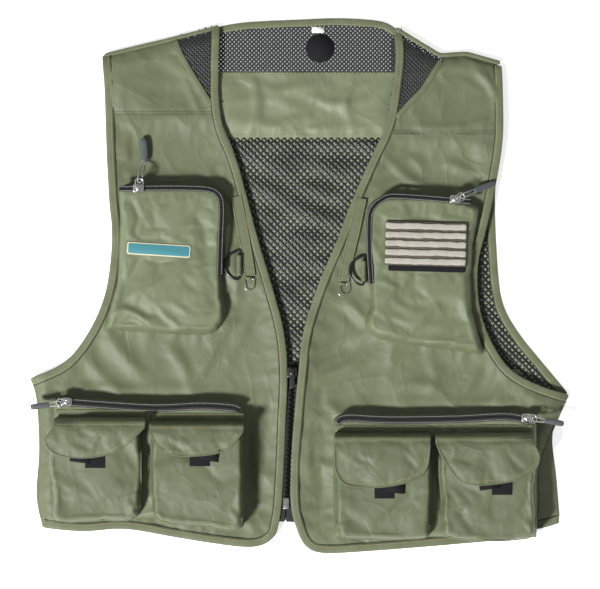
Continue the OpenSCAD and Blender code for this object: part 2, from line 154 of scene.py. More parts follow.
def waves(seed: int, length: float, count: int = 7) -> Height:
    """A soft random swell, between about -1 and 1.

    Args:
        seed: picks the swell.
        length: its usual wavelength.
        count: how many plain waves make it up.

    Returns:
        The swell as a function of x and y.
    """
    r = np.random.default_rng(seed)
    turn, size, shift = r.uniform(0, 2 * np.pi, count), r.uniform(0.7, 1.5, count), r.uniform(0, 6.3, count)
    k = 2 * np.pi / (length * size)

    def swell(x: np.ndarray, y: np.ndarray) -> np.ndarray:
        """The swell at places."""
        return sum(np.sin(k[i] * (x * np.cos(turn[i]) + y * np.sin(turn[i])) + shift[i])
                   for i in range(count)) / math.sqrt(count)
    return swell


@dataclass(frozen=True)
class Fold:
    """A crease in cloth: a ridge, or a valley where its height is negative."""

    points: tuple[tuple[float, float], ...]
    height: float
    width: float

    def at(self, p: np.ndarray) -> np.ndarray:
        """How far the crease lifts the cloth.

        Args:
            p: flat points.

        Returns:
            The lift at each.
        """
        line = smooth(self.points, 5)
        d, q = off_line(p, line)
        ends = np.minimum(np.linalg.norm(q - line[0], axis=1), np.linalg.norm(q - line[-1], axis=1))
        reach = np.linalg.norm(line[-1] - line[0]) * 0.35
        fade = 0.15 + 0.85 * np.clip(ends / reach, 0, 1)
        return 1.35 * self.height * np.exp(-((d / (0.85 * self.width)) ** 2)) * fade


# ---------------------------------------------------------------- pattern lines of the vest
class Cut:
    """Pattern lines of the vest, laid flat."""

    ARM_LEFT = smooth([(-216, 252), (-213, 213), (-211, 150), (-208, 92), (-205, 60), (-207, 22),
                       (-214, -14), (-230, -50), (-256, -83), (-294, -101)])
    SIDE_LEFT = smooth([(-294, -101), (-287, -124), (-284, -180), (-287, -230), (-280, -265)])
    HEM_LEFT = smooth([(-280, -265), (-236, -268.5), (-190, -266), (-133, -275.5), (-69, -285),
                       (-42, -284), (-27, -274), (-23, -262)])
    EDGE_LEFT = smooth([(-23, -262), (-20, -245), (-17, -200), (-15, -150), (-13, -96), (-17, -50),
                        (-30, 0), (-45, 50), (-67, 132), (-87, 190), (-87, 284)])
    SHOULDER_LEFT = np.array([(-88, 283.8), (-146, 269), (-180, 261), (-214, 252.5)])
    ARM_RIGHT = smooth([(294, -119), (262, -109), (230, -91), (208, -58), (196, -20), (195, 24),
                        (204, 62), (214, 108), (222, 160), (222, 213), (221, 241)])
    SHOULDER_RIGHT = np.array([(219, 241.6), (182, 252), (153, 250), (104, 279.6)])
    EDGE_RIGHT = smooth([(102, 280), (105, 252), (101, 213), (94, 175), (77, 138), (56, 90), (41, 50),
                         (20, 0), (4, -50), (-1, -90), (-6.5, -150), (-10, -200), (-9, -245),
                         (0, -275)])
    HEM_RIGHT = smooth([(0, -275), (9, -287), (28, -292.5), (77, -290), (154, -284), (221, -278),
                        (256, -274)])
    SIDE_RIGHT = smooth([(256, -274), (262, -240), (262, -200), (274, -165), (294, -119)])
    BACK_ARM_RIGHT = smooth([(218, 240), (219, 160), (214, 98), (216, 33), (222, -18), (240, -52),
                             (264, -82), (294, -118)])
    BACK_SIDE_RIGHT = smooth([(294, -118), (277, -160), (281, -210), (285, -260)])
    BACK_HEM = smooth([(285, -260), (240, -268), (100, -262), (-20, -257), (-150, -258), (-278, -262)])
    BACK_SIDE_LEFT = smooth([(-278, -262), (-284, -230), (-281, -180), (-284, -124), (-290, -104)])
    BACK_ARM_LEFT = beside(ARM_LEFT, 4)[::-1]
    NECK_TOP = smooth([(-94, 282), (-60, 288), (0, 291), (45, 292.5), (90, 289), (108, 279)])
    BOUND_LEFT = np.vstack([HEM_LEFT, EDGE_LEFT[1:]])
    BOUND_RIGHT = np.vstack([EDGE_RIGHT, HEM_RIGHT[1:]])
    MESH_LEFT = np.array([(-136, 268), (-131, 254), (-119, 233), (-96, 196)])
    MESH_RIGHT = np.array([(155, 246), (135, 214), (119, 198), (106, 183)])
    YOKE_LEFT_Y, YOKE_RIGHT_Y = 185.0, 164.0
    CHEST_LEFT = np.vstack([smooth([(-198, 108), (-150, 109.5), (-106, 109), (-87, 103), (-81, 88),
                                    (-83, 50), (-84, 0), (-80, -28), (-87, -46), (-106, -54),
                                    (-170, -51), (-213, -48)], 3),
                            [(-206, -20), (-199, 4), (-197, 47), (-196, 75)]])
    CHEST_RIGHT = np.vstack([smooth([(197, 86), (165, 96), (108, 100), (89, 97), (76, 88), (72, 72),
                                     (73, 37), (77, 0), (77, -22), (71, -42), (86, -58), (146, -68),
                                     (206, -76)], 3),
                             [(199, -66), (189, -28), (187, 10), (190, 45)]])
    MAIN_LEFT = np.vstack([smooth([(-268, -122), (-223, -123), (-158, -127.5), (-108, -125.5),
                                   (-70, -127), (-60, -138)], 3),
                           [(-60, -266), (-154, -255), (-268, -255)]])
    MAIN_RIGHT = np.vstack([smooth([(37, -146), (52, -138), (96, -140), (173, -139), (223, -137),
                                    (250, -140), (259, -150)], 3), [(259, -275), (37, -275)]])
    CHEST_ZIP_LEFT = smooth([(-196, 105), (-150, 106), (-104, 105), (-90, 100), (-85, 88), (-86, 50),
                             (-87, 12)])
    CHEST_ZIP_RIGHT = smooth([(186, 91), (108, 97), (91, 94), (80, 85), (76, 72), (76, 37), (78, 2)])
    LOWER_ZIP_LEFT = smooth([(-263, -126), (-223, -129), (-158, -133), (-108, -131), (-74, -133),
                             (-66, -136)])
    LOWER_ZIP_RIGHT = smooth([(250, -147), (223, -142.5), (173, -145), (96, -146), (52, -144),
                              (41, -149)])
    BELLOWS = (
        smooth([(-262, -157), (-272, -178), (-273, -200), (-268, -228), (-266, -256), (-215, -256),
                (-176, -251), (-170, -200), (-172, -157)], 3),
        smooth([(-161, -161), (-163, -195), (-161, -232), (-153, -256), (-108, -262), (-68, -266),
                (-60, -240), (-60, -161)], 3),
        smooth([(38, -174), (37, -235), (42, -270), (60, -276), (130, -276), (142, -264),
                (145, -205), (142, -174)], 3),
        smooth([(151, -174), (150, -205), (153, -232), (154, -262), (168, -276), (248, -276),
                (257, -255), (256, -222), (259, -190), (252, -174)], 3))


# Heights that the firm parts set
FRONT_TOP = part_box("front_panel_left")[1].z / MM
CHEST_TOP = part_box("chest_pocket_left")[1].z / MM
MAIN_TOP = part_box("lower_pocket_left")[1].z / MM
BELLOWS_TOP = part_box("bellows_pockets_left")[1].z / MM
FLAP_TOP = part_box("flap_outer_left")[1].z / MM
HINGE_UP = 1.1
EDGES_THAT_FALL = (Cut.SIDE_LEFT, Cut.SIDE_RIGHT, Cut.SHOULDER_LEFT, Cut.SHOULDER_RIGHT)
SWELL = waves(3, 120)


def lie(x: np.ndarray, y: np.ndarray) -> np.ndarray:
    """Height of the fronts where nothing has creased them.

    Args:
        x: places across.
        y: places along.

    Returns:
        Their heights: level over the chest, and down to the back at the side and shoulder seams.
    """
    p = np.stack([np.ravel(x), np.ravel(y)], 1).astype(float)
    d = np.min([off_line(p, line)[0] for line in EDGES_THAT_FALL], 0)
    fall = np.sqrt(np.clip(1 - (1 - np.clip(d / 17, 0, 1)) ** 2, 0, 1))
    top = FRONT_TOP - 0.6 + 0.7 * SWELL(p[:, 0], p[:, 1])
    return (2.2 + (top - 2.2) * fall).reshape(np.shape(x))


def back_lie(x: np.ndarray, y: np.ndarray) -> np.ndarray:
    """Height of the back shell's upper face.

    Args:
        x: places across.
        y: places along.

    Returns:
        Their heights, which are never below the surface the vest lies on.
    """
    return 1.0 + 0.25 * SWELL(x * 1.4, y * 1.4)


# ---------------------------------------------------------------- finishes
class Follow(Enum):
    """What a finish's pattern follows."""

    CLOTH = "UV"
    SPACE = "Object"


def group(name: str, inputs: dict[str, object], outputs: dict[str, str]) -> bpy.types.NodeTree:
    """An empty shader node group.

    Args:
        name: its name.
        inputs: each input's name and first value; a tuple of four is a colour, None a vector.
        outputs: each output's name and socket type.

    Returns:
        The group, with its Group Input and Group Output nodes named in and out.
    """
    tree = bpy.data.node_groups.new(name, "ShaderNodeTree")
    for key, value in inputs.items():
        kind = "Vector" if value is None else "Color" if isinstance(value, tuple) else "Float"
        made = tree.interface.new_socket(key, in_out="INPUT", socket_type="NodeSocket" + kind)
        if value is not None:
            made.default_value = value
    for key, kind in outputs.items():
        tree.interface.new_socket(key, in_out="OUTPUT", socket_type="NodeSocket" + kind)
    tree.nodes.new("NodeGroupInput").name = "in"
    tree.nodes.new("NodeGroupOutput").name = "out"
    return tree


@dataclass
class Wires:
    """Adds nodes to a tree and joins them."""

    tree: bpy.types.NodeTree

    def add(self, kind: str, settings: dict[str, object] | None = None, **links: object) -> bpy.types.Node:
        """A new node.

        Args:
            kind: its type, without ShaderNode.
            settings: its own settings.
            links: each input, by name or by i and its number, with a socket or a value for it.

        Returns:
            The node.
        """
        node = self.tree.nodes.new("ShaderNode" + kind)
        for key, value in (settings or {}).items():
            setattr(node, key, value)
        for key, value in links.items():
            numbered = key[0] == "i" and key[1:].isdigit()
            socket = node.inputs[int(key[1:])] if numbered else node.inputs[key.replace("_", " ")]
            if isinstance(value, bpy.types.NodeSocket):
                self.tree.links.new(value, socket)
            else:
                socket.default_value = value
        return node

    def sum(self, how: str, a: object, b: object = 0.0, c: object = 0.0) -> bpy.types.NodeSocket:
        """The output of a Math node.

        Args:
            how: its operation.
            a: its first value or socket.
            b: its second.
            c: its third.

        Returns:
            The output socket.
        """
        return self.add("Math", {"operation": how}, i0=a, i1=b, i2=c).outputs[0]


def weave_group() -> bpy.types.NodeTree:
    """Plain weave: threads over and under each other.

    Returns:
        A group that puts out the threads' height.
    """
    tree = group("weave", {"Vector": None, "Threads": 2500.0}, {"Height": "Float"})
    w, inner = Wires(tree), tree.nodes["in"].outputs
    part = w.add("SeparateXYZ", i0=inner["Vector"])
    across = w.sum("SINE", w.sum("MULTIPLY", w.sum("MULTIPLY", part.outputs[0], inner["Threads"]), math.pi))
    along = w.sum("SINE", w.sum("MULTIPLY", w.sum("MULTIPLY", part.outputs[1], inner["Threads"]), math.pi))
    tree.links.new(w.sum("MULTIPLY_ADD", w.sum("MULTIPLY", across, along), 0.5, 0.5),
                   tree.nodes["out"].inputs["Height"])
    return tree


def blotch_group() -> bpy.types.NodeTree:
    """Uneven dye and uneven gloss.

    Returns:
        A group that puts out a tint between two colours and a roughness that varies round a middle.
    """
    tree = group("blotch", {"Vector": None, "Colour": (0.5, 0.5, 0.5, 1.0), "Tone": (0.4, 0.4, 0.4, 1.0),
                            "Size": 30.0, "Roughness": 0.6, "Swing": 0.1},
                 {"Colour": "Color", "Roughness": "Float"})
    w, inner = Wires(tree), tree.nodes["in"].outputs
    wide = w.add("TexNoise", Vector=inner["Vector"], Scale=inner["Size"], Detail=4.0, Roughness=0.6)
    fine = w.add("TexNoise", Vector=inner["Vector"], Scale=w.sum("MULTIPLY", inner["Size"], 22.0),
                 Detail=2.0)
    both = w.sum("MULTIPLY_ADD", fine.outputs[0], 0.35, w.sum("MULTIPLY", wide.outputs[0], 0.8))
    clear = w.add("MapRange", Value=both, From_Min=0.38, From_Max=0.78)
    mix = w.add("Mix", {"data_type": "RGBA"}, i0=clear.outputs[0], i6=inner["Tone"], i7=inner["Colour"])
    tree.links.new(mix.outputs[2], tree.nodes["out"].inputs["Colour"])
    around = w.sum("MULTIPLY", w.sum("SUBTRACT", both, 0.57), inner["Swing"])
    tree.links.new(w.sum("MULTIPLY_ADD", around, 3.0, inner["Roughness"]),
                   tree.nodes["out"].inputs["Roughness"])
    return tree


def crinkle_group() -> bpy.types.NodeTree:
    """Sharp creases that folding and handling leave in coated cloth.

    Returns:
        A group that puts out the creases' height.
    """
    tree = group("crinkle", {"Vector": None, "Size": 40.0}, {"Height": "Float"})
    w, inner = Wires(tree), tree.nodes["in"].outputs
    parts = []
    for scale, turn, much in ((0.7, (0.8, 1.2, 1.0), 0.5), (1.7, (1.2, 0.8, 1.0), 0.2),
                              (4.5, (1.0, 1.1, 1.0), 0.025)):
        place = w.add("VectorMath", {"operation": "MULTIPLY"}, i0=inner["Vector"], i1=turn)
        noise = w.add("TexNoise", Vector=place.outputs[0], Scale=w.sum("MULTIPLY", inner["Size"], scale),
                      Detail=2.0, Roughness=0.45, Distortion=0.6)
        ridge = w.sum("ABSOLUTE", w.sum("MULTIPLY_ADD", noise.outputs[0], 2.0, -1.0))
        sharp = w.sum("POWER", w.sum("MAXIMUM", w.sum("MULTIPLY_ADD", ridge, -1.6, 1.0), 0.0), 3.0)
        parts.append(w.sum("MULTIPLY", sharp, much))
    soft = w.add("TexNoise", Vector=inner["Vector"], Scale=w.sum("MULTIPLY", inner["Size"], 0.8), Detail=3.0)
    total = w.sum("ADD", w.sum("ADD", parts[0], parts[1]), w.sum("ADD", parts[2], soft.outputs[0]))
    tree.links.new(total, tree.nodes["out"].inputs["Height"])
    return tree


class Groups:
    """The node groups that the finishes share, each made once."""

    WEAVE = weave_group()
    BLOTCH = blotch_group()
    CRINKLE = crinkle_group()


@dataclass(frozen=True)
class Finish:
    """One finish: its colours, its gloss, and the depth in millimetres of its threads and creases."""

    name: str
    slot: str
    colour: tuple[float, float, float]
    tone: tuple[float, float, float]
    blotches: float = 30.0
    threads: float = 0.0
    thread_depth: float = 0.05
    crinkles: float = 40.0
    crinkle_depth: float = 0.0
    rough: float = 0.6
    swing: float = 0.1
    sheen: float = 0.0
    metal: float = 0.0
    coat: float = 0.0
    shine: float = 0.36
    follow: Follow = Follow.CLOTH

    def material(self) -> bpy.types.Material:
        """Makes the material the first time it is asked for.

        Returns:
            The material.
        """
        made = bpy.data.materials.get(self.name)
        if made:
            return made
        made = bpy.data.materials.new(self.name)
        made.use_nodes = True
        w = Wires(made.node_tree)
        shader = made.node_tree.nodes["Principled BSDF"]
        place = w.add("TexCoord").outputs[self.follow.value]
        dye = w.add("Group", {"node_tree": Groups.BLOTCH}, Vector=place, Colour=(*self.colour, 1),
                    Tone=(*self.tone, 1), Size=self.blotches, Roughness=self.rough, Swing=self.swing)
        w.tree.links.new(dye.outputs["Colour"], shader.inputs["Base Color"])
        w.tree.links.new(dye.outputs["Roughness"], shader.inputs["Roughness"])
        height: object = 0.0
        if self.threads:
            cloth = w.add("Group", {"node_tree": Groups.WEAVE}, Vector=place, Threads=self.threads)
            height = w.sum("MULTIPLY_ADD", cloth.outputs[0], self.thread_depth * MM, height)
        if self.crinkle_depth:
            worn = w.add("Group", {"node_tree": Groups.CRINKLE}, Vector=place, Size=self.crinkles)
            height = w.sum("MULTIPLY_ADD", worn.outputs[0], self.crinkle_depth * MM, height)
        if self.threads or self.crinkle_depth:
            bump = w.add("Bump", Distance=1.0, Strength=1.0, Height=height)
            w.tree.links.new(bump.outputs[0], shader.inputs["Normal"])
        shader.inputs["Metallic"].default_value = self.metal
        shader.inputs["Specular IOR Level"].default_value = self.shine
        shader.inputs["Sheen Weight"].default_value = self.sheen
        shader.inputs["Sheen Roughness"].default_value = 0.4
        shader.inputs["Coat Weight"].default_value = self.coat
        return made


# Olive cloth of the fronts, yokes and tool strips, a little darker than the pockets' copy below: painted
# shade on the flatter fronts.
OLIVE = Finish("olive_nylon", "olive_cloth", (0.099, 0.114, 0.061), (0.085, 0.098, 0.051), 22, 2600, 0.03,
               14, 2.1, 0.56, 0.05, 0.0)
# Darker copy of the olive cloth for the bellows pockets and flaps: painted shade, as these tilted pieces
# catch less light.
OLIVE_SHADED = Finish("olive_nylon_painted_shade", "olive_cloth", (0.09, 0.105, 0.057), (0.076, 0.089, 0.047), 26, 2600,
                    0.03, 20, 1.4, 0.56, 0.05, 0.0)
# Lighter copy of the olive cloth for the chest and lower pockets: painted light, as their raised faces catch
# more light than the fronts.
OLIVE_POCKET_LIT = Finish("olive_nylon_pocket_painted_lit", "olive_cloth", (0.112, 0.131, 0.072), (0.102, 0.12, 0.065), 22, 2600,
                    0.03, 13, 0.9, 0.56, 0.05, 0.0)
# Lighter copy of the olive cloth for the back yoke: painted light, as the raised yoke catches more light.
OLIVE_YOKE_LIT = Finish("olive_nylon_yoke_painted_lit", "olive_cloth", (0.136, 0.156, 0.091), (0.118, 0.136, 0.078), 22,
                    2600, 0.03, 18, 1.4, 0.5, 0.06, 0.0)
# Much lighter copy of the olive cloth for the inside of the back: painted light, lifted against the shade
# that falls under the lining net.
OLIVE_INSIDE_LIT = Finish("olive_nylon_inside_painted_lit", "olive_cloth", (0.19, 0.2, 0.125), (0.16, 0.17, 0.1), 22,
                      2600, 0.03, 34, 0.5, 0.6, 0.08, 0.0)
TAPE = Finish("olive_tape", "binding_tape", (0.104, 0.119, 0.064), (0.08, 0.092, 0.048), 60, 1500, 0.08, 90,
              0.3, 0.58, 0.06, 0.0)
THREAD = Finish("pale_thread", "binding_tape", (0.36, 0.325, 0.145), (0.24, 0.215, 0.1), 400, rough=0.5,
                follow=Follow.SPACE)
GREY_THREAD = Finish("grey_thread", "zip_tape", (0.34, 0.35, 0.33), (0.2, 0.205, 0.19), 400, rough=0.6,
                     follow=Follow.SPACE)
# Dark thread for the yoke stitches; the same dark finish also paints the shade line along the bindings.
DARK_THREAD_AND_SHADE = Finish("dark_thread_and_painted_shade", "binding_tape", (0.03, 0.033, 0.022), (0.02, 0.022, 0.015), 400,
                     rough=0.6, follow=Follow.SPACE)
NET = Finish("black_net", "spacer_mesh", (0.022, 0.025, 0.024), (0.012, 0.014, 0.013), 300, 5000, 0.05,
             rough=0.4, sheen=0.1)
LINING = Finish("lining_net", "lining_mesh", (0.016, 0.018, 0.018), (0.006, 0.008, 0.008), 200, 1200, 0.15,
                rough=0.3)
ZIP_TAPE = Finish("zip_tape", "zip_tape", (0.01, 0.01, 0.011), (0.006, 0.006, 0.007), 100, 1800, 0.08,
                  rough=0.7, shine=0.08)
TEETH = Finish("zip_teeth", "black_plastic", (0.01, 0.01, 0.011), (0.006, 0.006, 0.007), 200, rough=0.5,
               shine=0.1, follow=Follow.SPACE)
SILVER = Finish("plated_metal", "bright_metal", (0.72, 0.71, 0.69), (0.55, 0.54, 0.53), 300, rough=0.22,
                swing=0.1, metal=1.0, follow=Follow.SPACE)
BLACK_METAL = Finish("black_enamel", "black_metal", (0.02, 0.02, 0.021), (0.012, 0.012, 0.013), 300,
                     rough=0.3, coat=0.4, follow=Follow.SPACE)
BLACK_PLASTIC = Finish("black_plastic", "black_plastic", (0.012, 0.012, 0.013), (0.008, 0.008, 0.009), 200,
                       rough=0.22, coat=0.3, follow=Follow.SPACE)
GRIP = Finish("slate_grip", "soft_grip", (0.06, 0.07, 0.072), (0.045, 0.052, 0.054), 150, crinkles=500,
              crinkle_depth=0.03, rough=0.45, follow=Follow.SPACE)
CORD = Finish("braided_cord", "pull_cord", (0.36, 0.36, 0.35), (0.16, 0.16, 0.155), 500, 1400, 0.18,
              rough=0.55)
PILE = Finish("loop_pile", "hook_and_loop", (0.014, 0.014, 0.015), (0.005, 0.005, 0.006), 500, 900, 0.25,
              500, 0.4, 0.9, 0.05, shine=0.12)
WHITE_CLOTH = Finish("white_satin", "label_cloth", (0.8, 0.8, 0.79), (0.68, 0.68, 0.68), 200, 3500, 0.04,
                     rough=0.45)
TEAL = Finish("teal_rubber", "badge", (0.05, 0.2, 0.225), (0.035, 0.15, 0.175), 60, rough=0.4)
CREAM = Finish("cream_rubber", "badge", (0.5, 0.48, 0.34), (0.42, 0.4, 0.28), 60, rough=0.42)
FOAM = Finish("cream_foam", "ribbed_foam", (0.33, 0.318, 0.272), (0.27, 0.258, 0.22), 90, crinkles=900,
              crinkle_depth=0.06, rough=0.75, follow=Follow.SPACE)
# Dark base slab that shows between the foam ribs: painted shade in the grooves.
FOAM_SHADE = Finish("foam_painted_groove_shade", "ribbed_foam", (0.085, 0.074, 0.056), (0.055, 0.047, 0.036), 90, rough=0.8,
                    follow=Follow.SPACE)


# ---------------------------------------------------------------- mesh tools, in millimetres
def grid(nu: int, nv: int, shape: Callable[[np.ndarray, np.ndarray], np.ndarray],
         closed: bool = False) -> bmesh.types.BMesh:
    """A sheet of quads bent into a shape, with its own u and v as its UV map in metres.

    Args:
        nu: quads along u.
        nv: quads along v.
        shape: the place of every u, v in 0 to 1, in millimetres.
        closed: v = 0 and v = 1 meet, as round a tube, and both ends are filled.

    Returns:
        The mesh.
    """
    bm = bmesh.new()
    bmesh.ops.create_grid(bm, x_segments=nu, y_segments=nv, size=1)
    uv = np.array([(v.co.x, v.co.y) for v in bm.verts]) / 2 + 0.5
    place = shape(uv[:, 0], uv[:, 1])
    long = np.linalg.norm(np.ptp(place, axis=0)) * MM
    layer = bm.loops.layers.uv.new("cloth")
    for v, p in zip(bm.verts, place):
        v.co = p
    for f in bm.faces:
        for loop in f.loops:
            loop[layer].uv = uv[loop.vert.index] * (long, 0.012)
    if closed:
        bmesh.ops.remove_doubles(bm, verts=bm.verts, dist=1e-4)
        bmesh.ops.holes_fill(bm, edges=[e for e in bm.edges if e.is_boundary])
        bmesh.ops.recalc_face_normals(bm, faces=bm.faces)
    return bm


def sweep(line: np.ndarray, profile: np.ndarray, scale: np.ndarray | None = None,
          loop: bool = False) -> bmesh.types.BMesh:
    """A closed profile carried along a line.

    Args:
        line: the line's points, with heights.
        profile: the profile's points, sideways and up, in order.
        scale: how large the profile is at each point of the line.
        loop: the line's last point is its first one.

    Returns:
        The closed mesh.
    """
    t = np.gradient(line, axis=0)
    if loop:
        t[0] = t[-1] = line[1] - line[-2]
    t /= np.maximum(np.linalg.norm(t, axis=1), 1e-9)[:, None]
    side = np.cross((0, 0, 1), t)
    side /= np.maximum(np.linalg.norm(side, axis=1), 1e-9)[:, None]
    up = np.cross(t, side)
    ring = closed(profile)
    size = np.ones(len(line)) if scale is None else scale
    n, m = len(line) - 1, len(profile)

    def shape(u: np.ndarray, v: np.ndarray) -> np.ndarray:
        """Where the sheet goes."""
        i, j = np.round(u * n).astype(int), np.round(v * m).astype(int)
        return line[i] + size[i, None] * (ring[j, :1] * side[i] + ring[j, 1:] * up[i])
    return grid(n, m, shape, closed=True)


def flat_band(width: float, thick: float, puff: float = 0.0) -> np.ndarray:
    """The profile of a tape: flat, with round edges.

    Args:
        width: its width.
        thick: its thickness at the edges.
        puff: how much thicker its middle is.

    Returns:
        The profile's points.
    """
    a = np.linspace(0, 2 * np.pi, 14, endpoint=False)
    x = np.sign(np.cos(a)) * np.abs(np.cos(a)) ** 0.55 * width / 2
    z = np.sign(np.sin(a)) * np.abs(np.sin(a)) ** 0.6 * (thick / 2 + puff * (1 - (2 * x / width) ** 2))
    return np.stack([x, z], 1)


def round_profile(r: float, sides: int = 10) -> np.ndarray:
    """A circle's points."""
    a = np.linspace(0, 2 * np.pi, sides, endpoint=False)
    return np.stack([r * np.cos(a), r * np.sin(a)], 1)


def lifted(line: np.ndarray, height: Height | float, lift: float = 0.0) -> np.ndarray:
    """A flat line raised to a height.

    Args:
        line: the flat line.
        height: the height, or how it varies with place.
        lift: how much to add.

    Returns:
        The line with heights.
    """
    z = height(line[:, 0], line[:, 1]) if callable(height) else np.full(len(line), float(height))
    return np.column_stack([line, z + lift])


def cloth(outline: np.ndarray, cell: float, turn: float = 0.0, snap: bool = True) -> bmesh.types.BMesh:
    """A flat piece of cloth in even quads, cut to an outline.

    Args:
        outline: the cut's corners.
        cell: the size of a quad.
        turn: how far the quads are turned, in degrees.
        snap: the edge is drawn out to the outline.

    Returns:
        The mesh, at height 0, with its flat place in metres as its UV map.
    """
    lo, hi = outline.min(0) - cell, outline.max(0) + cell
    middle, half = (lo + hi) / 2, np.max(hi - lo) / 2 * (1.45 if turn else 1)
    n = int(math.ceil(2 * half / cell))
    bm = bmesh.new()
    laid = Matrix.Translation((*middle, 0)) @ Matrix.Rotation(math.radians(turn), 4, "Z")
    bmesh.ops.create_grid(bm, x_segments=n, y_segments=n, size=n * cell / 2, matrix=laid)
    centres = np.array([f.calc_center_median()[:2] for f in bm.faces])
    keep = inside(centres, outline)
    if snap:
        keep &= off_line(centres, closed(outline))[0] > cell * 0.3
    bmesh.ops.delete(bm, geom=[f for f, k in zip(bm.faces[:], keep) if not k], context="FACES")
    if snap:
        rim = [v for v in bm.verts if v.is_boundary]
        place = off_line(np.array([v.co[:2] for v in rim]), closed(outline))[1]
        for v, p in zip(rim, place):
            v.co = (*p, 0)
        inner = [v for v in bm.verts if not v.is_boundary]
        for _ in range(2):
            bmesh.ops.smooth_vert(bm, verts=inner, factor=0.5, use_axis_x=True, use_axis_y=True)
    layer = bm.loops.layers.uv.new("cloth")
    for f in bm.faces:
        for loop in f.loops:
            loop[layer].uv = loop.vert.co.xy * MM
    return bm


def raise_to(bm: bmesh.types.BMesh, height: Height, folds: Sequence[Fold] = (),
             rim: np.ndarray | None = None) -> None:
    """Lifts flat cloth to a height.

    Args:
        bm: the cloth.
        height: how the height varies with place.
        folds: creases to add.
        rim: a line that the creases stop short of.
    """
    p = np.array([v.co[:2] for v in bm.verts])
    z = height(p[:, 0], p[:, 1])
    fade = 1.0 if rim is None else np.clip((off_line(p, rim)[0] - 7) / 12, 0, 1)
    for fold in folds:
        z = z + fold.at(p) * fade
    for v, h in zip(bm.verts, z):
        v.co.z = h


def net(outline: np.ndarray, pitch: float, strand: float, height: Height,
        within: Sequence[np.ndarray] = ()) -> bmesh.types.BMesh:
    """Knitted mesh with open holes in a diamond pattern.

    Args:
        outline: where it is.
        pitch: from hole to hole.
        strand: the width of a strand.
        height: its height.
        within: other outlines that it keeps inside too.

    Returns:
        The mesh, with real holes.
    """
    bm = cloth(outline, pitch, 45, snap=False)
    centres = np.array([f.calc_center_median()[:2] for f in bm.faces])
    keep = np.all([inside(centres, o) for o in (outline, *within)], 0)
    bmesh.ops.delete(bm, geom=[f for f, k in zip(bm.faces[:], keep) if not k], context="FACES")
    holes = bm.faces[:]
    bmesh.ops.inset_individual(bm, faces=holes, thickness=strand / 2, use_even_offset=True)
    bmesh.ops.delete(bm, geom=holes, context="FACES_ONLY")
    raise_to(bm, height)
    return bm


def bricks(places: np.ndarray, turns: np.ndarray, size: tuple[float, float, float]) -> bmesh.types.BMesh:
    """Many small blocks, such as stitches or zip teeth.

    Args:
        places: their middles.
        turns: which way each points, in radians from x.
        size: length, width and height.

    Returns:
        The mesh.
    """
    bm = bmesh.new()
    shape = Matrix.Diagonal((*size, 1))
    for p, a in zip(places, turns):
        bmesh.ops.create_cube(bm, size=1, matrix=Matrix.Translation(p) @ Matrix.Rotation(a, 4, "Z") @ shape)
    return bm


def stitches(lines: Sequence[np.ndarray], pitch: float = 2.8, length: float = 1.7,
             width: float = 0.55) -> bmesh.types.BMesh:
    """Rows of stitches.

    Args:
        lines: where they run, with heights.
        pitch: from stitch to stitch.
        length: of each stitch.
        width: of the thread.

    Returns:
        The mesh.
    """
    places, turns = [], []
    for line in lines:
        p = even(line, pitch)
        d = np.diff(p, axis=0)
        places.append((p[:-1] + p[1:]) / 2)
        turns.append(np.arctan2(d[:, 1], d[:, 0]))
    return bricks(np.vstack(places), np.hstack(turns), (length, width, 0.45))


def piece(name: str, bm: bmesh.types.BMesh, finish: Finish, body: str | None = "vest",
          nodes: Sequence[str] = (), thick: float = 0.0, levels: int = 0) -> bpy.types.Object:
    """Turns a mesh in millimetres into a finished piece of the vest.

    Args:
        name: the piece's name.
        bm: its mesh, which is used up.
        finish: its finish.
        body: the firm body it moves with, or None to leave it free for a while.
        nodes: the CAD nodes it stands for.
        thick: the thickness that a Solidify modifier gives a sheet, in millimetres.
        levels: the levels of a Subdivision Surface modifier.

    Returns:
        The object.
    """
    bmesh.ops.scale(bm, vec=(MM, MM, MM), verts=bm.verts)
    if thick and sum(f.normal.z * f.calc_area() for f in bm.faces) < 0:
        bmesh.ops.reverse_faces(bm, faces=bm.faces)
    mesh = bpy.data.meshes.new(name)
    bm.to_mesh(mesh)
    bm.free()
    mesh.shade_smooth()
    mesh.materials.append(finish.material())
    made = bpy.data.objects.new(name, mesh)
    bpy.context.collection.objects.link(made)
    if levels:
        soft = made.modifiers.new("soften", "SUBSURF")
        soft.levels = soft.render_levels = levels
    if thick:
        wall = made.modifiers.new("cloth_thickness", "SOLIDIFY")
        wall.thickness = thick * MM
        wall.offset = -1
    if body:
        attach(made, body)
    if nodes:
        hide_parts(*nodes)
    log.info("%s: %d faces", name, len(mesh.polygons))
    return made


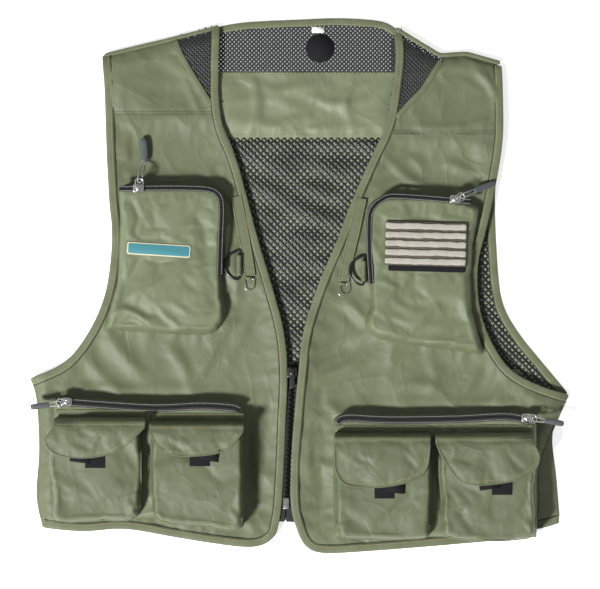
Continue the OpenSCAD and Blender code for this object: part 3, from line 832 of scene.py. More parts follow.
def crumple(made: bpy.types.Object, held: Callable[[np.ndarray], np.ndarray], spare: float,
            pressure: float = 0.0, weight: float = 0.0, cap: float = 6.0, frames: int = 18,
            stiff: float = 0.08) -> None:
    """Lets a piece of cloth settle with a little more cloth than its seams leave room for.

    Args:
        made: the piece.
        held: tells from places in millimetres which points the seams hold.
        spare: the extra cloth, as a share of its length.
        pressure: what fills the pocket pushes out this hard.
        weight: how much of gravity counts.
        cap: the furthest that a point may move, in millimetres.
        frames: how many steps it settles for.
        stiff: the cloth's resistance to bending.
    """
    start = np.array([v.co for v in made.data.vertices])
    pinned = held(start / MM)
    seams = made.vertex_groups.new(name="held")
    seams.add([int(i) for i in np.flatnonzero(pinned)], 1.0, "REPLACE")
    others = {m: m.show_viewport for m in made.modifiers}
    for m in others:
        m.show_viewport = False
    sim = made.modifiers.new("settle", "CLOTH")
    s = sim.settings
    s.quality, s.mass, s.air_damping = 5, 0.12, 3.0
    s.tension_stiffness = s.compression_stiffness = 14
    s.shear_stiffness, s.bending_stiffness = 4, stiff
    s.vertex_group_mass = "held"
    s.shrink_min = -spare
    s.effector_weights.gravity = weight
    s.use_pressure, s.uniform_pressure_force = bool(pressure), pressure
    sim.collision_settings.use_collision = False
    sim.point_cache.frame_start, sim.point_cache.frame_end = 1, frames
    scene = bpy.context.scene
    for step in range(1, frames + 1):
        scene.frame_set(step)
    shown = made.evaluated_get(bpy.context.evaluated_depsgraph_get())
    end = np.array([v.co for v in shown.data.vertices])
    made.modifiers.remove(sim)
    made.vertex_groups.remove(seams)
    scene.frame_set(1)
    move = np.nan_to_num(end - start)
    far = np.linalg.norm(move, axis=1)
    limit = cap * MM
    move *= (limit * np.tanh(far / limit) / np.maximum(far, 1e-9))[:, None]
    made.data.vertices.foreach_set("co", (start + move).ravel())
    made.data.update()
    for m, shown_before in others.items():
        m.show_viewport = shown_before


@dataclass
class Surface:
    """Finished cloth that other pieces are sewn onto."""

    pieces: list[bpy.types.Object]
    fallback: Height
    trees: list[BVHTree] = field(default_factory=list)

    def __post_init__(self) -> None:
        """Reads the pieces' meshes."""
        self.trees = [BVHTree.FromPolygons([v.co for v in o.data.vertices],
                                           [tuple(f.vertices) for f in o.data.polygons])
                      for o in self.pieces]

    def __call__(self, x: np.ndarray, y: np.ndarray) -> np.ndarray:
        """The cloth's height.

        Args:
            x: places across.
            y: places along.

        Returns:
            The height at each place.
        """
        out = self.fallback(x, y).astype(float)
        for i, (a, b) in enumerate(zip(np.ravel(x), np.ravel(y))):
            hits = [t.ray_cast(Vector((a * MM, b * MM, 0.2)), Vector((0, 0, -1)))[0] for t in self.trees]
            found = [h.z / MM for h in hits if h]
            if found:
                out[i] = max(found)
        return out


def near(lines: Sequence[np.ndarray], reach: float) -> Callable[[np.ndarray], np.ndarray]:
    """Which points lie near any of some lines.

    Args:
        lines: the flat lines.
        reach: how near.

    Returns:
        A test of places in millimetres.
    """
    def test(p: np.ndarray) -> np.ndarray:
        """True where a point is near."""
        return np.min([off_line(p[:, :2], line)[0] for line in lines], 0) < reach
    return test


# ---------------------------------------------------------------- sub-assemblies
FOLDS_LEFT = (
    Fold(((-217, -46), (-195, -74), (-166, -105)), 3.0, 9),
    Fold(((-240, -72), (-215, -100), (-190, -118)), 2.2, 8),
    Fold(((-75, -32), (-95, -72), (-122, -119)), 2.6, 10),
    Fold(((-50, -20), (-70, -66), (-96, -112)), 1.8, 8),
    Fold(((-36, -119), (-46, -170), (-40, -235)), 2.2, 6),
    Fold(((-52, -125), (-56, -190), (-50, -255)), -1.6, 5),
    Fold(((-28, -140), (-33, -200), (-30, -250)), 1.6, 4),
    Fold(((-276, -120), (-272, -180), (-276, -240)), 1.8, 5),
    Fold(((-202, 139), (-190, 143), (-180, 144)), 2.0, 4),
    Fold(((-84, 150), (-100, 120), (-60, 90)), 1.6, 7), Fold(((-60, 70), (-72, 30), (-66, -20)), 1.5, 7),
    Fold(((-150, -62), (-130, -84), (-120, -112)), 2.4, 8),
    Fold(((-196, 122), (-150, 119), (-95, 120)), 1.7, 4),
    Fold(((-262, -110), (-200, -112), (-80, -112)), 1.6, 4))
FOLDS_RIGHT = (
    Fold(((90, 142), (112, 122), (142, 104)), 2.6, 6), Fold(((100, 128), (122, 138), (140, 124)), 1.8, 5),
    Fold(((148, 134), (172, 130), (191, 120)), 2.4, 5), Fold(((39, -18), (52, -34), (69, -54)), -2.0, 5),
    Fold(((48, -10), (62, -28), (72, -42)), 2.2, 6),
    Fold(((79, -70), (58, -87), (36, -96), (14, -106)), 2.8, 7),
    Fold(((60, -62), (40, -72), (10, -86)), -1.8, 5), Fold(((99, -125), (120, -108), (158, -114)), 2.4, 6),
    Fold(((169, -125), (186, -108), (197, -84)), 2.4, 7),
    Fold(((206, -120), (216, -104), (226, -88)), -1.6, 6),
    Fold(((12, -120), (10, -180), (14, -250)), 1.8, 5), Fold(((24, -118), (27, -180), (22, -255)), -1.4, 4),
    Fold(((140, -80), (150, -100), (140, -122)), 1.8, 7),
    Fold(((266, -130), (262, -170), (266, -220)), 1.6, 5),
    Fold(((74, 108), (110, 113), (180, 103)), 1.7, 4), Fold(((48, -130), (110, -126), (240, -126)), 1.5, 4))
CHEST_FOLDS_LEFT = (
    Fold(((-196, 93), (-190, 72), (-184, 50)), 1.8, 5), Fold(((-182, 92), (-176, 74), (-180, 58)), -1.4, 4),
    Fold(((-157, -21), (-142, -36), (-125, -46)), 1.6, 5),
    Fold(((-150, -10), (-130, -24), (-112, -36)), 1.2, 5),
    Fold(((-206, -33), (-185, -28), (-160, -42)), 2.4, 6),
    Fold(((-200, -42), (-180, -40), (-165, -47)), -2.0, 4),
    Fold(((-120, 80), (-104, 60), (-100, 20)), -1.4, 9))
CHEST_FOLDS_RIGHT = (
    Fold(((77, 50), (84, 36), (88, 22)), 1.8, 4), Fold(((86, 6), (97, 2), (108, -4)), 1.6, 4),
    Fold(((90, -30), (120, -40), (160, -44)), 1.6, 6), Fold(((180, 30), (176, 0), (182, -40)), 1.6, 6),
    Fold(((104, -14), (130, -22), (150, -16)), -1.4, 6))
FOLDS_BACK_YOKE = (
    Fold(((-60, 222), (-20, 214), (30, 220)), 2.2, 6), Fold(((-80, 200), (-40, 206), (0, 196)), 1.6, 6),
    Fold(((10, 208), (40, 198), (80, 204)), 1.8, 6), Fold(((-76, 182), (-30, 178), (20, 184)), 1.4, 6),
    Fold(((-50, 226), (-46, 200), (-52, 176)), 1.3, 6), Fold(((60, 228), (50, 200), (58, 174)), 1.6, 6),
    Fold(((-70, 176), (0, 171), (70, 175)), 1.2, 4))
FOLDS_YOKES = (
    Fold(((-125, 224), (-108, 186)), 1.2, 4), Fold(((-190, 230), (-196, 205), (-190, 190)), 1.0, 6),
    Fold(((191, 240), (206, 222), (216, 199)), 2.2, 5), Fold(((152, 229), (162, 240), (170, 250)), 1.4, 4),
    Fold(((112, 176), (150, 172), (205, 176)), 1.2, 5))


@dataclass
class Fronts:
    """The two fronts with their yokes and shoulder mesh.

    Attributes:
        cell: size of the cloth's quads.
        spare: extra cloth between the seams.
    """

    cell: float = 5.0
    spare: float = 0.028
    surface: Surface | None = None

    def whole(self, left: bool) -> np.ndarray:
        """The outline of one front, inside its bindings.

        Args:
            left: the left one.

        Returns:
            Its corners.
        """
        c = Cut
        if left:
            return np.vstack([c.ARM_LEFT + (3, 0), c.SIDE_LEFT[1:], c.BOUND_LEFT[1:] + (-0.5, 2),
                              c.SHOULDER_LEFT])
        return np.vstack([c.ARM_RIGHT + (-3, 0), c.SHOULDER_RIGHT, c.EDGE_RIGHT[1:] + (1, 0),
                          c.HEM_RIGHT[1:] + (0, 2), c.SIDE_RIGHT[1:]])

    def corner(self, left: bool) -> np.ndarray:
        """The part of the plane where a front is mesh, by its neck.

        Args:
            left: on the left one.

        Returns:
            Its corners.
        """
        if left:
            return np.vstack([[(-136, 300)], Cut.MESH_LEFT, [(-60, 196), (-60, 300)]])
        return np.vstack([[(155, 300)], Cut.MESH_RIGHT, [(60, 183), (60, 300)]])

    def build(self) -> None:
        """Makes the fronts' cloth, cut at the yoke seams, with their yokes and shoulder mesh."""
        panels = []
        seams = {True: Cut.YOKE_LEFT_Y, False: Cut.YOKE_RIGHT_Y}
        for left, word in ((True, "left"), (False, "right")):
            whole, corner, y = self.whole(left), self.corner(left), seams[left]
            panel = cut_where(cloth(whole, self.cell), lambda p: p[:, 1] < y, y)
            raise_to(panel, lie, FOLDS_LEFT if left else FOLDS_RIGHT, closed(whole))
            made = piece("front_cloth_" + word, panel, OLIVE, None, levels=1)
            edges = [closed(whole), np.array([(-300, y), (300, y)])]
            pocket = (Cut.CHEST_LEFT, Cut.MAIN_LEFT) if left else (Cut.CHEST_RIGHT, Cut.MAIN_RIGHT)
            hold = near(edges, 8.5)
            under = [shrunk(o, 4) for o in pocket]

            def held(p: np.ndarray) -> np.ndarray:
                """Held at the seams and under the pockets."""
                return hold(p) | np.any([inside(p[:, :2], o) for o in under], 0)
            crumple(made, held, self.spare, weight=0.15, cap=5.0)
            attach(made, "vest")
            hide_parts("front_panel_" + word)
            panels.append(made)
            yoke = cloth(whole, self.cell * 0.8)
            yoke = cut_where(yoke, lambda p: (p[:, 1] > y) & ~inside(p, corner), y, corner)
            raise_to(yoke, lambda a, b: lie(a, b) + 0.5, FOLDS_YOKES)
            made = piece("yoke_cloth_" + word, yoke, OLIVE, None, levels=1)
            rim = near([closed(whole), np.array([(-300, y), (300, y)]),
                        Cut.MESH_LEFT if left else Cut.MESH_RIGHT], self.cell * 0.7)
            crumple(made, rim, self.spare * 0.35, cap=1.6)
            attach(made, "vest")
            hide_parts("front_yokes")
            panels.append(made)
            knit = net(whole, 3.4, 2.1, lambda a, b: lie(a, b) - 0.2, [corner])
            made = piece("shoulder_net_" + word, knit, NET, nodes=["shoulder_mesh"], thick=0.5)
            panels.append(made)
        self.surface = Surface(panels, lie)


def shrunk(outline: np.ndarray, d: float) -> np.ndarray:
    """A closed outline moved inwards.

    Args:
        outline: its corners.
        d: how far in.

    Returns:
        The new corners.
    """
    ahead, behind = np.roll(outline, -1, 0), np.roll(outline, 1, 0)
    t = ahead - behind
    t /= np.maximum(np.linalg.norm(t, axis=1), 1e-9)[:, None]
    area = np.sum(outline[:, 0] * ahead[:, 1] - ahead[:, 0] * outline[:, 1])
    return outline + math.copysign(d, area) * np.stack([-t[:, 1], t[:, 0]], 1)


def cut_where(bm: bmesh.types.BMesh, keep: Callable[[np.ndarray], np.ndarray], level: float | None = None,
              corner: np.ndarray | None = None) -> bmesh.types.BMesh:
    """Keeps part of a piece of cloth.

    Args:
        bm: the cloth.
        keep: tells which places stay.
        level: a straight seam across, cut exactly.
        corner: an outline cut exactly.

    Returns:
        The same mesh.
    """
    planes = [] if level is None else [((0, level, 0), (0, 1, 0))]
    if corner is not None:
        for a, b in zip(corner[:-1], corner[1:]):
            planes.append(((*a, 0), (a[1] - b[1], b[0] - a[0], 0)))
    for place, normal in planes:
        bmesh.ops.bisect_plane(bm, geom=bm.verts[:] + bm.edges[:] + bm.faces[:], plane_co=place,
                               plane_no=normal, dist=0.4)
    centres = np.array([f.calc_center_median()[:2] for f in bm.faces])
    bmesh.ops.delete(bm, geom=[f for f, k in zip(bm.faces[:], keep(centres)) if not k], context="FACES")
    return bm


@dataclass
class Trim:
    """Bound edges and seams of the fronts and the back.

    Attributes:
        width: width of the binding tape.
        thick: thickness of a folded binding.
    """

    width: float = 9.0
    thick: float = 2.0

    def bind(self, name: str, line: np.ndarray, height: Height, node: str, thick: float | None = None,
             width: float | None = None) -> np.ndarray:
        """Folds tape over a cut edge and stitches it.

        Args:
            name: the piece's name.
            line: the edge, with the cloth on its left, or on its right where width is negative.
            height: the cloth's height.
            node: the CAD node it stands for.
            thick: its thickness, where it isn't the usual one.
            width: its width, where it isn't the usual one.

        Returns:
            The line of its stitches.
        """
        width, thick = width or self.width, thick or self.thick
        ripple = waves(len(name), 30)
        middle = even(beside(line, width / 2), 4)
        z = height(middle[:, 0], middle[:, 1]) + 0.3 * ripple(middle[:, 0], middle[:, 1])
        tape = sweep(np.column_stack([middle, z]), flat_band(abs(width), thick, 0.25))
        piece(name, tape, TAPE, nodes=[node], levels=1)
        row = even(beside(line, width * 0.76), 4)
        z = height(row[:, 0], row[:, 1]) + 0.3 * ripple(row[:, 0], row[:, 1]) + thick / 2 + 0.12
        # A thin dark cord just past the tape's inner edge: painted shade where the binding meets the cloth.
        painted_shade_line = even(beside(line, width * 1.02), 4)
        low = height(painted_shade_line[:, 0], painted_shade_line[:, 1]) + thick / 2 - 0.25
        piece(name + "_groove", sweep(np.column_stack([painted_shade_line, low]), flat_band(0.9, 0.8)), DARK_THREAD_AND_SHADE)
        return np.column_stack([row, z])

    def build(self, fronts: Fronts) -> None:
        """Binds and stitches every edge.

        Args:
            fronts: the finished fronts.
        """
        c = Cut

        def front(x: np.ndarray, y: np.ndarray) -> np.ndarray:
            """Height of the middle of the fronts' bindings."""
            return lie(x, y) - 0.1

        def behind(x: np.ndarray, y: np.ndarray) -> np.ndarray:
            """Height of the middle of the back's bindings."""
            return 0 * x + 0.95
        rows = [
            self.bind("armhole_tape_left", c.ARM_LEFT, front, "armhole_binding_left"),
            self.bind("armhole_tape_right", c.ARM_RIGHT, front, "armhole_binding_right"),
            self.bind("edge_tape_left", c.BOUND_LEFT, front, "front_binding_left"),
            self.bind("edge_tape_right", c.BOUND_RIGHT, front, "front_binding_right"),
            self.bind("back_armhole_tape_right", c.BACK_ARM_RIGHT, behind, "back_bindings", 1.7, -9),
            self.bind("back_armhole_tape_left", c.BACK_ARM_LEFT, behind, "back_bindings", 1.7, -9),
            self.bind("back_hem_tape", c.BACK_HEM, behind, "back_bindings", 1.7, -9)]
        neck = even(beside(c.NECK_TOP, -4), 3)
        piece("neck_tape", sweep(lifted(neck, 1.6), flat_band(8, 2.2, 0.35)), TAPE, nodes=["neck_binding"],
              levels=1)
        rows.append(lifted(even(beside(c.NECK_TOP, -6.4), 3), 2.95))
        top = fronts.surface
        yoke_rows = []
        for y, x0, x1 in ((c.YOKE_LEFT_Y, -203, -92), (c.YOKE_RIGHT_Y, 98, 214)):
            for up in (1.6, 4.4):
                line = even(np.array([(x0, y + up), (x1, y + up)], float), 4)
                yoke_rows.append(lifted(line, top, 0.2))
        for line in (c.MESH_LEFT, c.MESH_RIGHT):
            yoke_rows.append(lifted(even(line, 4), top, 0.5))
        piece("edge_stitches", stitches(rows), THREAD)
        piece("yoke_stitches", stitches(yoke_rows, 2.6, 1.6, 0.4), DARK_THREAD_AND_SHADE)
        for word, line in (("left", c.MESH_LEFT), ("right", c.MESH_RIGHT)):
            path = lifted(even(line, 4), lie, 0.9)
            piece("mesh_seam_" + word, sweep(path, flat_band(6, 1.0, 0.2)), TAPE, levels=1)
        for name, line, d in (("side_seam_left", c.SIDE_LEFT, 1.5), ("side_seam_right", c.SIDE_RIGHT, 1.5),
                              ("shoulder_seam_left", c.SHOULDER_LEFT, 1.5),
                              ("shoulder_seam_right", c.SHOULDER_RIGHT, -1.5)):
            path = even(beside(line, d), 4)
            level = lifted(path, lie, 0.3) if "shoulder" in name else lifted(path, 2.0)
            piece(name, sweep(level, flat_band(5, 2.2, 0.3)), TAPE,
                  nodes=["side_and_shoulder_seams"], levels=1)


@dataclass
class Back:
    """The back, which the vest lies on, with its lining, yoke, neck mesh and labels."""

    cell: float = 6.0

    def outline(self) -> np.ndarray:
        """The back's outline, inside its bindings.

        Returns:
            Its corners.
        """
        c = Cut
        return np.vstack([c.BACK_ARM_RIGHT + (-3, 0), c.BACK_SIDE_RIGHT[1:], c.BACK_HEM[1:] + (0, 3),
                          c.BACK_SIDE_LEFT[1:], c.BACK_ARM_LEFT + (3, 0),
                          [(-146, 265), (-100, 276), (104, 276), (153, 246), (182, 248)]])

    def build(self) -> None:
        """Makes the back's cloth."""
        outline = self.outline()
        shell = cloth(outline, self.cell)
        shell = cut_where(shell, lambda p: ~((p[:, 1] > 233) & (np.abs(p[:, 0] - 3) < 131)), 233)
        raise_to(shell, back_lie)
        # The back's cloth takes the lighter copy of the olive cloth: painted light under the lining net.
        shell_cloth = piece("back_cloth", shell, OLIVE_INSIDE_LIT, nodes=["back_shell"], thick=0.9, levels=1)
        ruck = waves(12, 34)
        rim = closed(outline)

        def rest(x: np.ndarray, y: np.ndarray) -> np.ndarray:
            """Height of the lining, which goes down to its seams."""
            d = off_line(np.stack([x, y], 1), rim)[0]
            return back_lie(x, y) + (1.0 + 0.6 * ruck(x, y)) * np.clip((d - 7) / 8, 0, 1)
        areas = {"middle": [(-100, -235), (60, -235), (100, 162), (-120, 162)],
                 "side": [(150, -130), (300, -130), (300, 150), (150, 150)]}
        for word, corners in areas.items():
            lining = net(np.array(corners, float), 5.2, 2.5, rest, [shrunk(outline, 4)])
            made = piece("back_lining_" + word, lining, LINING, nodes=["back_lining_mesh"], thick=0.4)
        yoke = cloth(np.array([(-176, 162), (176, 162), (176, 233), (-176, 233)], float), 4.5)
        raise_to(yoke, lambda x, y: back_lie(x, y) + 1.2, FOLDS_BACK_YOKE)
        # The back yoke takes the lighter copy of the olive cloth: painted light.
        made = piece("back_yoke_cloth", yoke, OLIVE_YOKE_LIT, None, levels=1)
        rim = near([np.array([(-176, 162), (176, 162), (176, 233), (-176, 233), (-176, 162)], float)], 3)
        crumple(made, rim, 0.02, cap=2.5)
        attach(made, "vest")
        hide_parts("back_yoke")
        rows = [lifted(even(np.array([(-95, y), (100, y)], float), 4), Surface([made], back_lie), 0.2)
                for y in (165.0, 230.5)]
        piece("back_yoke_stitches", stitches(rows), THREAD)
        neck = np.vstack([beside(Cut.NECK_TOP, -6), [(134, 262), (134, 232), (-128, 232), (-128, 266)]])
        knit = piece("neck_net", net(neck, 3.4, 2.3, lambda x, y: 0.8 + 0 * x), NET, nodes=["neck_mesh"],
                     thick=0.5)
        facings = {"left": [(-140, 229), (-90, 229), (-90, 279), (-140, 266)],
                   "right": [(100, 229), (148, 229), (150, 247), (106, 273), (100, 273)]}
        for word, corners in facings.items():
            facing = cloth(np.array(corners, float), 4)
            raise_to(facing, lambda x, y: 0.3 + 0 * x)
            piece("shoulder_facing_" + word, facing, LINING, thick=0.2)
        label = slab((6.75, 3.25), 0.4, (20.25, 279.6, 3.1))
        piece("size_tag", label, WHITE_CLOTH, nodes=["size_label"])
        disc = bmesh.new()
        bmesh.ops.create_cone(disc, cap_ends=True, segments=48, radius1=15.5, radius2=15.2, depth=0.8,
                              matrix=Matrix.Translation((22.5, 259.5, 1.5)))
        piece("neck_pile_patch", disc, PILE, nodes=["neck_patch"])


def slab(half: tuple[float, float], thick: float, middle: tuple[float, float, float], turn: float = 0.0,
         corner: float = 0.0, edge: float = 0.0) -> bmesh.types.BMesh:
    """A flat block with round corners and soft edges.

    Args:
        half: half its length and half its width.
        thick: its thickness.
        middle: its middle.
        turn: its turn, in degrees.
        corner: the radius of its upright corners.
        edge: the radius of its other edges.

    Returns:
        The mesh.
    """
    bm = bmesh.new()
    bmesh.ops.create_cube(bm, size=1, matrix=Matrix.Diagonal((2 * half[0], 2 * half[1], thick, 1)))
    if corner:
        upright = [e for e in bm.edges if abs(e.verts[0].co.z - e.verts[1].co.z) > thick * 0.9]
        bmesh.ops.bevel(bm, geom=upright, offset=corner, segments=6, profile=0.5, affect="EDGES", material=-1)
    if edge:
        around = [e for e in bm.edges if abs(e.verts[0].co.z - e.verts[1].co.z) < 1e-4 and
                  len({round(f.normal.z) for f in e.link_faces}) > 1]
        bmesh.ops.bevel(bm, geom=around, offset=edge, segments=3, profile=0.5, affect="EDGES", material=-1)
    bmesh.ops.transform(bm, verts=bm.verts,
                        matrix=Matrix.Translation(middle) @ Matrix.Rotation(math.radians(turn), 4, "Z"))
    return bm


@dataclass
class Zip:
    """A zip: its tape, its coil and its rows of stitches."""

    name: str
    line: np.ndarray
    top: float
    width: float
    node: str

    def build(self) -> None:
        """Makes the zip."""
        line = even(self.line, 3)
        piece(self.name + "_tape", sweep(lifted(line, self.top + 0.5), flat_band(self.width, 0.9)), ZIP_TAPE,
              nodes=[self.node])
        tooth = even(self.line, 1.35)
        d = np.diff(tooth, axis=0)
        turns = np.arctan2(d[:, 1], d[:, 0])
        places = lifted((tooth[:-1] + tooth[1:]) / 2, self.top + 1.05)
        piece(self.name + "_coil", bricks(places, turns, (0.8, 2.0, 0.55)), TEETH)
        rows = [lifted(beside(line, s * self.width * 0.36), self.top + 0.98) for s in (-1, 1)]
        piece(self.name + "_stitches", stitches(rows, 2.6, 1.9, 0.5), GREY_THREAD)


def box_outline(middle: tuple[float, float], half: tuple[float, float], turn: float) -> np.ndarray:
    """The corners of a turned rectangle.

    Args:
        middle: its middle.
        half: half its length and half its width.
        turn: its turn, in degrees.

    Returns:
        The four corners.
    """
    a = math.radians(turn)
    corners = np.array([(-1, -1), (1, -1), (1, 1), (-1, 1)]) * half
    return corners @ np.array([(math.cos(a), math.sin(a)), (-math.sin(a), math.cos(a))]) + middle


@dataclass
class Pocket:
    """A zipped pocket that stands up from the front.

    Attributes:
        name: its name.
        outline: its outline on the front.
        low: height of the cloth it is sewn to.
        top: height of its upper face.
        zip_line: where its zip runs.
        node: the CAD node it stands for.
        folds: its creases.
        fall: radius over which its sides fall, away from the zip.
        lip: the same beside the zip.
    """

    name: str
    outline: np.ndarray
    low: float
    top: float
    zip_line: np.ndarray
    node: str
    folds: tuple[Fold, ...] = ()
    fall: float = 9.0
    lip: float = 3.0
    cell: float = 3.0
    press: float = 0.5
    seed: int = 1
    pads: tuple[np.ndarray, ...] = ()

    def padded(self, p: np.ndarray) -> np.ndarray:
        """Which points lie under a badge or a patch."""
        return np.any([inside(p[:, :2], o) for o in self.pads], 0) if self.pads else np.zeros(len(p), bool)

    def height(self, x: np.ndarray, y: np.ndarray) -> np.ndarray:
        """Height of the pocket before it settles.

        Args:
            x: places across.
            y: places along.

        Returns:
            The heights.
        """
        p = np.stack([x, y], 1)
        rim = off_line(p, closed(self.outline))[0]
        from_zip = off_line(p, self.zip_line)[0]
        away = np.clip((from_zip - 8) / 40, 0, 1)
        r = self.lip + (self.fall - self.lip) * away * away * (3 - 2 * away)
        rise = np.clip(1 - (1 - np.clip(rim / r, 0, 1)) ** 2, 0, 1) ** 0.5
        swell = waves(self.seed, 60)(x, y)
        level = self.low + (self.top - self.low - 0.2) * rise - 1.3 * away * np.maximum(0.5 + swell, 0) * rise
        return np.where(self.padded(p), self.top - 0.3, level)

    def build(self) -> Surface:
        """Makes the pocket's cloth.

        Returns:
            The finished surface.
        """
        bm = cloth(self.outline, self.cell)
        raise_to(bm, self.height, self.folds)
        # The pockets take the lighter copy of the olive cloth: painted light.
        made = piece(self.name, bm, OLIVE_POCKET_LIT, None, levels=1)
        rim = near([closed(self.outline)], 1.0)
        hard = near([self.zip_line], 6.5)
        crumple(made, lambda p: rim(p) | hard(p) | self.padded(p), 0.025, pressure=self.press, cap=2.6)
        places = np.array([v.co for v in made.data.vertices]) / MM
        sunk = self.padded(places)
        for v, under in zip(made.data.vertices, sunk):
            v.co.z = min(v.co.z, (self.top - (0.3 if under else -1.2)) * MM)
        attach(made, "vest")
        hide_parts(self.node)
        return Surface([made], self.height)


# Where each bellows pocket's loop patch is, and how far its hook patch is aside and askew; the shift lets a
# strip of the real hook patch show past the flap's edge as a painted shadow beside the loop patch
PATCHES = ((-221, -187, -16, -8), (-108, -185, 10, -10), (92, -220, 11, -6), (219, -216, -14, 8))


@dataclass
class Bellows:
    """One of the four bellows pockets, with its flap.

    Attributes:
        word: which one.
        number: its place from left to right.
        seam: how far along the vest the flap is sewn on.
        span: the flap's ends.
        edge: the flap's lower edge.
        nodes: the CAD node that the pocket stands for.
        body: the firm body and CAD node that the flap stands for.
        low: height of the cloth it is sewn to.
        run: how far down the flap bends over the pocket.
        rise_run: how far down the flap has risen to its full height.
        slower: how much further that is beside a zip's pull.
    """

    word: str
    number: int
    seam: float
    span: tuple[float, float]
    edge: np.ndarray
    nodes: str
    body: str
    low: float = MAIN_TOP
    run: float = 12.0
    rise_run: float = 5.5
    slower: float = 6.5

    def pocket_height(self, x: np.ndarray, y: np.ndarray) -> np.ndarray:
        """Height of the bellows pocket before it settles.

        Args:
            x: places across.
            y: places along.

        Returns:
            The heights.
        """
        p = np.stack([x, y], 1)
        outline = Cut.BELLOWS[self.number]
        rim = off_line(p, closed(outline))[0]
        rise = np.clip(1 - (1 - np.clip(rim / 5.5, 0, 1)) ** 2, 0, 1) ** 0.5
        soft = waves(20 + self.number, 55)(x, y)
        return self.low - 0.5 + (BELLOWS_TOP - self.low) * rise - 0.6 * (1 + soft) * rise

    def flap_height(self, x: np.ndarray, y: np.ndarray) -> np.ndarray:
        """Height of the flap: up from its seam, over the fold, and flat with a droop at its rim.

        Args:
            x: places across.
            y: places along.

        Returns:
            The heights. The rise is slower beside the zip's pull, which the flap swings past.
        """
        down = self.seam - y
        by_pull = np.clip(2 - np.abs(np.abs(x) - 259) / 12, 0, 1)
        rise = np.clip(down / (self.rise_run + self.slower * by_pull), 0, 1)
        up = np.sin(rise * np.pi / 2) ** 0.8
        p = np.stack([x, y], 1)
        rim = off_line(p, self.edge)[0]
        droop = 0.6 * np.exp(-(rim / 7) ** 2) * np.clip((down - self.run) / 12, 0, 1)
        fold = 2.2 * np.exp(-((down - 7) / 6) ** 2) * rise
        soft = 0.35 * waves(40 + self.number, 38)(x, y) * rise * np.clip((down - 9) / 6, 0, 1)
        return self.low + HINGE_UP + (FLAP_TOP - self.low - HINGE_UP - 0.1) * up - droop - fold + soft

    def build(self) -> None:
        """Makes the pocket, its flap and their patches."""
        self.build_pocket()
        self.build_flap()
        self.build_patches()

    def build_pocket(self) -> None:
        """Makes the pocket and its piping."""
        outline = Cut.BELLOWS[self.number]
        bm = cloth(outline, 2.8)
        r = np.random.default_rng(self.number)
        lo, hi = outline.min(0), outline.max(0)
        folds = [Fold(((lo[0] + 4, lo[1] + 6), (lo[0] + 14, lo[1] + 22)), 1.6, 4),
                 Fold(((hi[0] - 5, lo[1] + 7), (hi[0] - 16, lo[1] + 26)), 1.6, 4)]
        for _ in range(3):
            a = r.uniform(lo + 12, hi - 12)
            folds.append(Fold((tuple(a), tuple(a + r.uniform(-22, 22, 2))), r.uniform(-1.6, 1.2), 5))
        raise_to(bm, self.pocket_height, folds)
        # The bellows pocket takes the darker copy of the olive cloth: painted shade.
        made = piece("bellows_" + self.word, bm, OLIVE_SHADED, None, levels=1)
        crumple(made, near([closed(outline)], 1.0), 0.02, pressure=0.4, cap=2.0)
        inner = even(closed(shrunk(outline, 1.6)), 4)
        cord = lifted(inner, Surface([made], self.pocket_height), 0.1)
        piece("piping_" + self.word, sweep(cord, round_profile(0.75, 8)), TAPE, levels=1)
        for v in made.data.vertices:
            v.co.z = min(v.co.z, (BELLOWS_TOP + 0.1) * MM)
        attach(made, "vest")
        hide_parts(self.nodes)

    def build_flap(self) -> None:
        """Makes the flap, its hem and its stitches."""
        x0, x1 = self.span
        flap_outline = np.vstack([[(x0, self.seam), (x0, self.seam - self.run)], smooth(self.edge, 4)[1:-1],
                                  [(x1, self.seam - self.run), (x1, self.seam)]])
        bm = cloth(flap_outline, 2.6)
        dents = [Fold(((x, y), (x + dx, y + dy)), h, 5) for x, y, dx, dy, h in (
            (x0 + 20, self.seam - 26, 24, -9, -0.9), (x1 - 30, self.seam - 24, 14, -14, -0.8),
            ((x0 + x1) / 2, self.seam - 20, -12, -14, 0.7))]
        raise_to(bm, self.flap_height, dents)
        # The flap takes the darker copy of the olive cloth: painted shade.
        flap = piece("flap_cloth_" + self.word, bm, OLIVE_SHADED, None, levels=1)

        def held(p: np.ndarray) -> np.ndarray:
            """Held from the seam to the fold and at the rim."""
            return (p[:, 1] > self.seam - 9) | near([smooth(self.edge, 4)], 2.0)(p)
        crumple(flap, held, 0.015, cap=1.3)
        thick = flap.modifiers.new("cloth_thickness", "SOLIDIFY")
        thick.thickness, thick.offset = 1.4 * MM, -1
        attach(flap, self.body)
        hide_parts(self.body)
        top = Surface([flap], self.flap_height)
        rim = smooth(self.edge, 4)
        area = np.sum(rim[:-1, 0] * rim[1:, 1] - rim[1:, 0] * rim[:-1, 1])
        hem = even(beside(rim, math.copysign(0.7, area)), 3)
        edging = sweep(lifted(hem, top, -0.25), round_profile(0.85, 8))
        piece("flap_hem_" + self.word, edging, TAPE, self.body, levels=1)
        fold = np.array([(x0 + 3, self.seam - 8), (x1 - 3, self.seam - 8)], float)
        rows = [lifted(even(beside(rim, math.copysign(5.0, area)), 3)[2:-2], top, 0.12),
                lifted(even(fold, 3), top, 0.12)]
        piece("flap_stitches_" + self.word, stitches(rows, 2.6, 1.6, 0.45), THREAD, self.body)

    def build_patches(self) -> None:
        """Makes the hook and loop patches and the band that the flap is sewn under."""
        x, y, aside, askew = PATCHES[self.number]
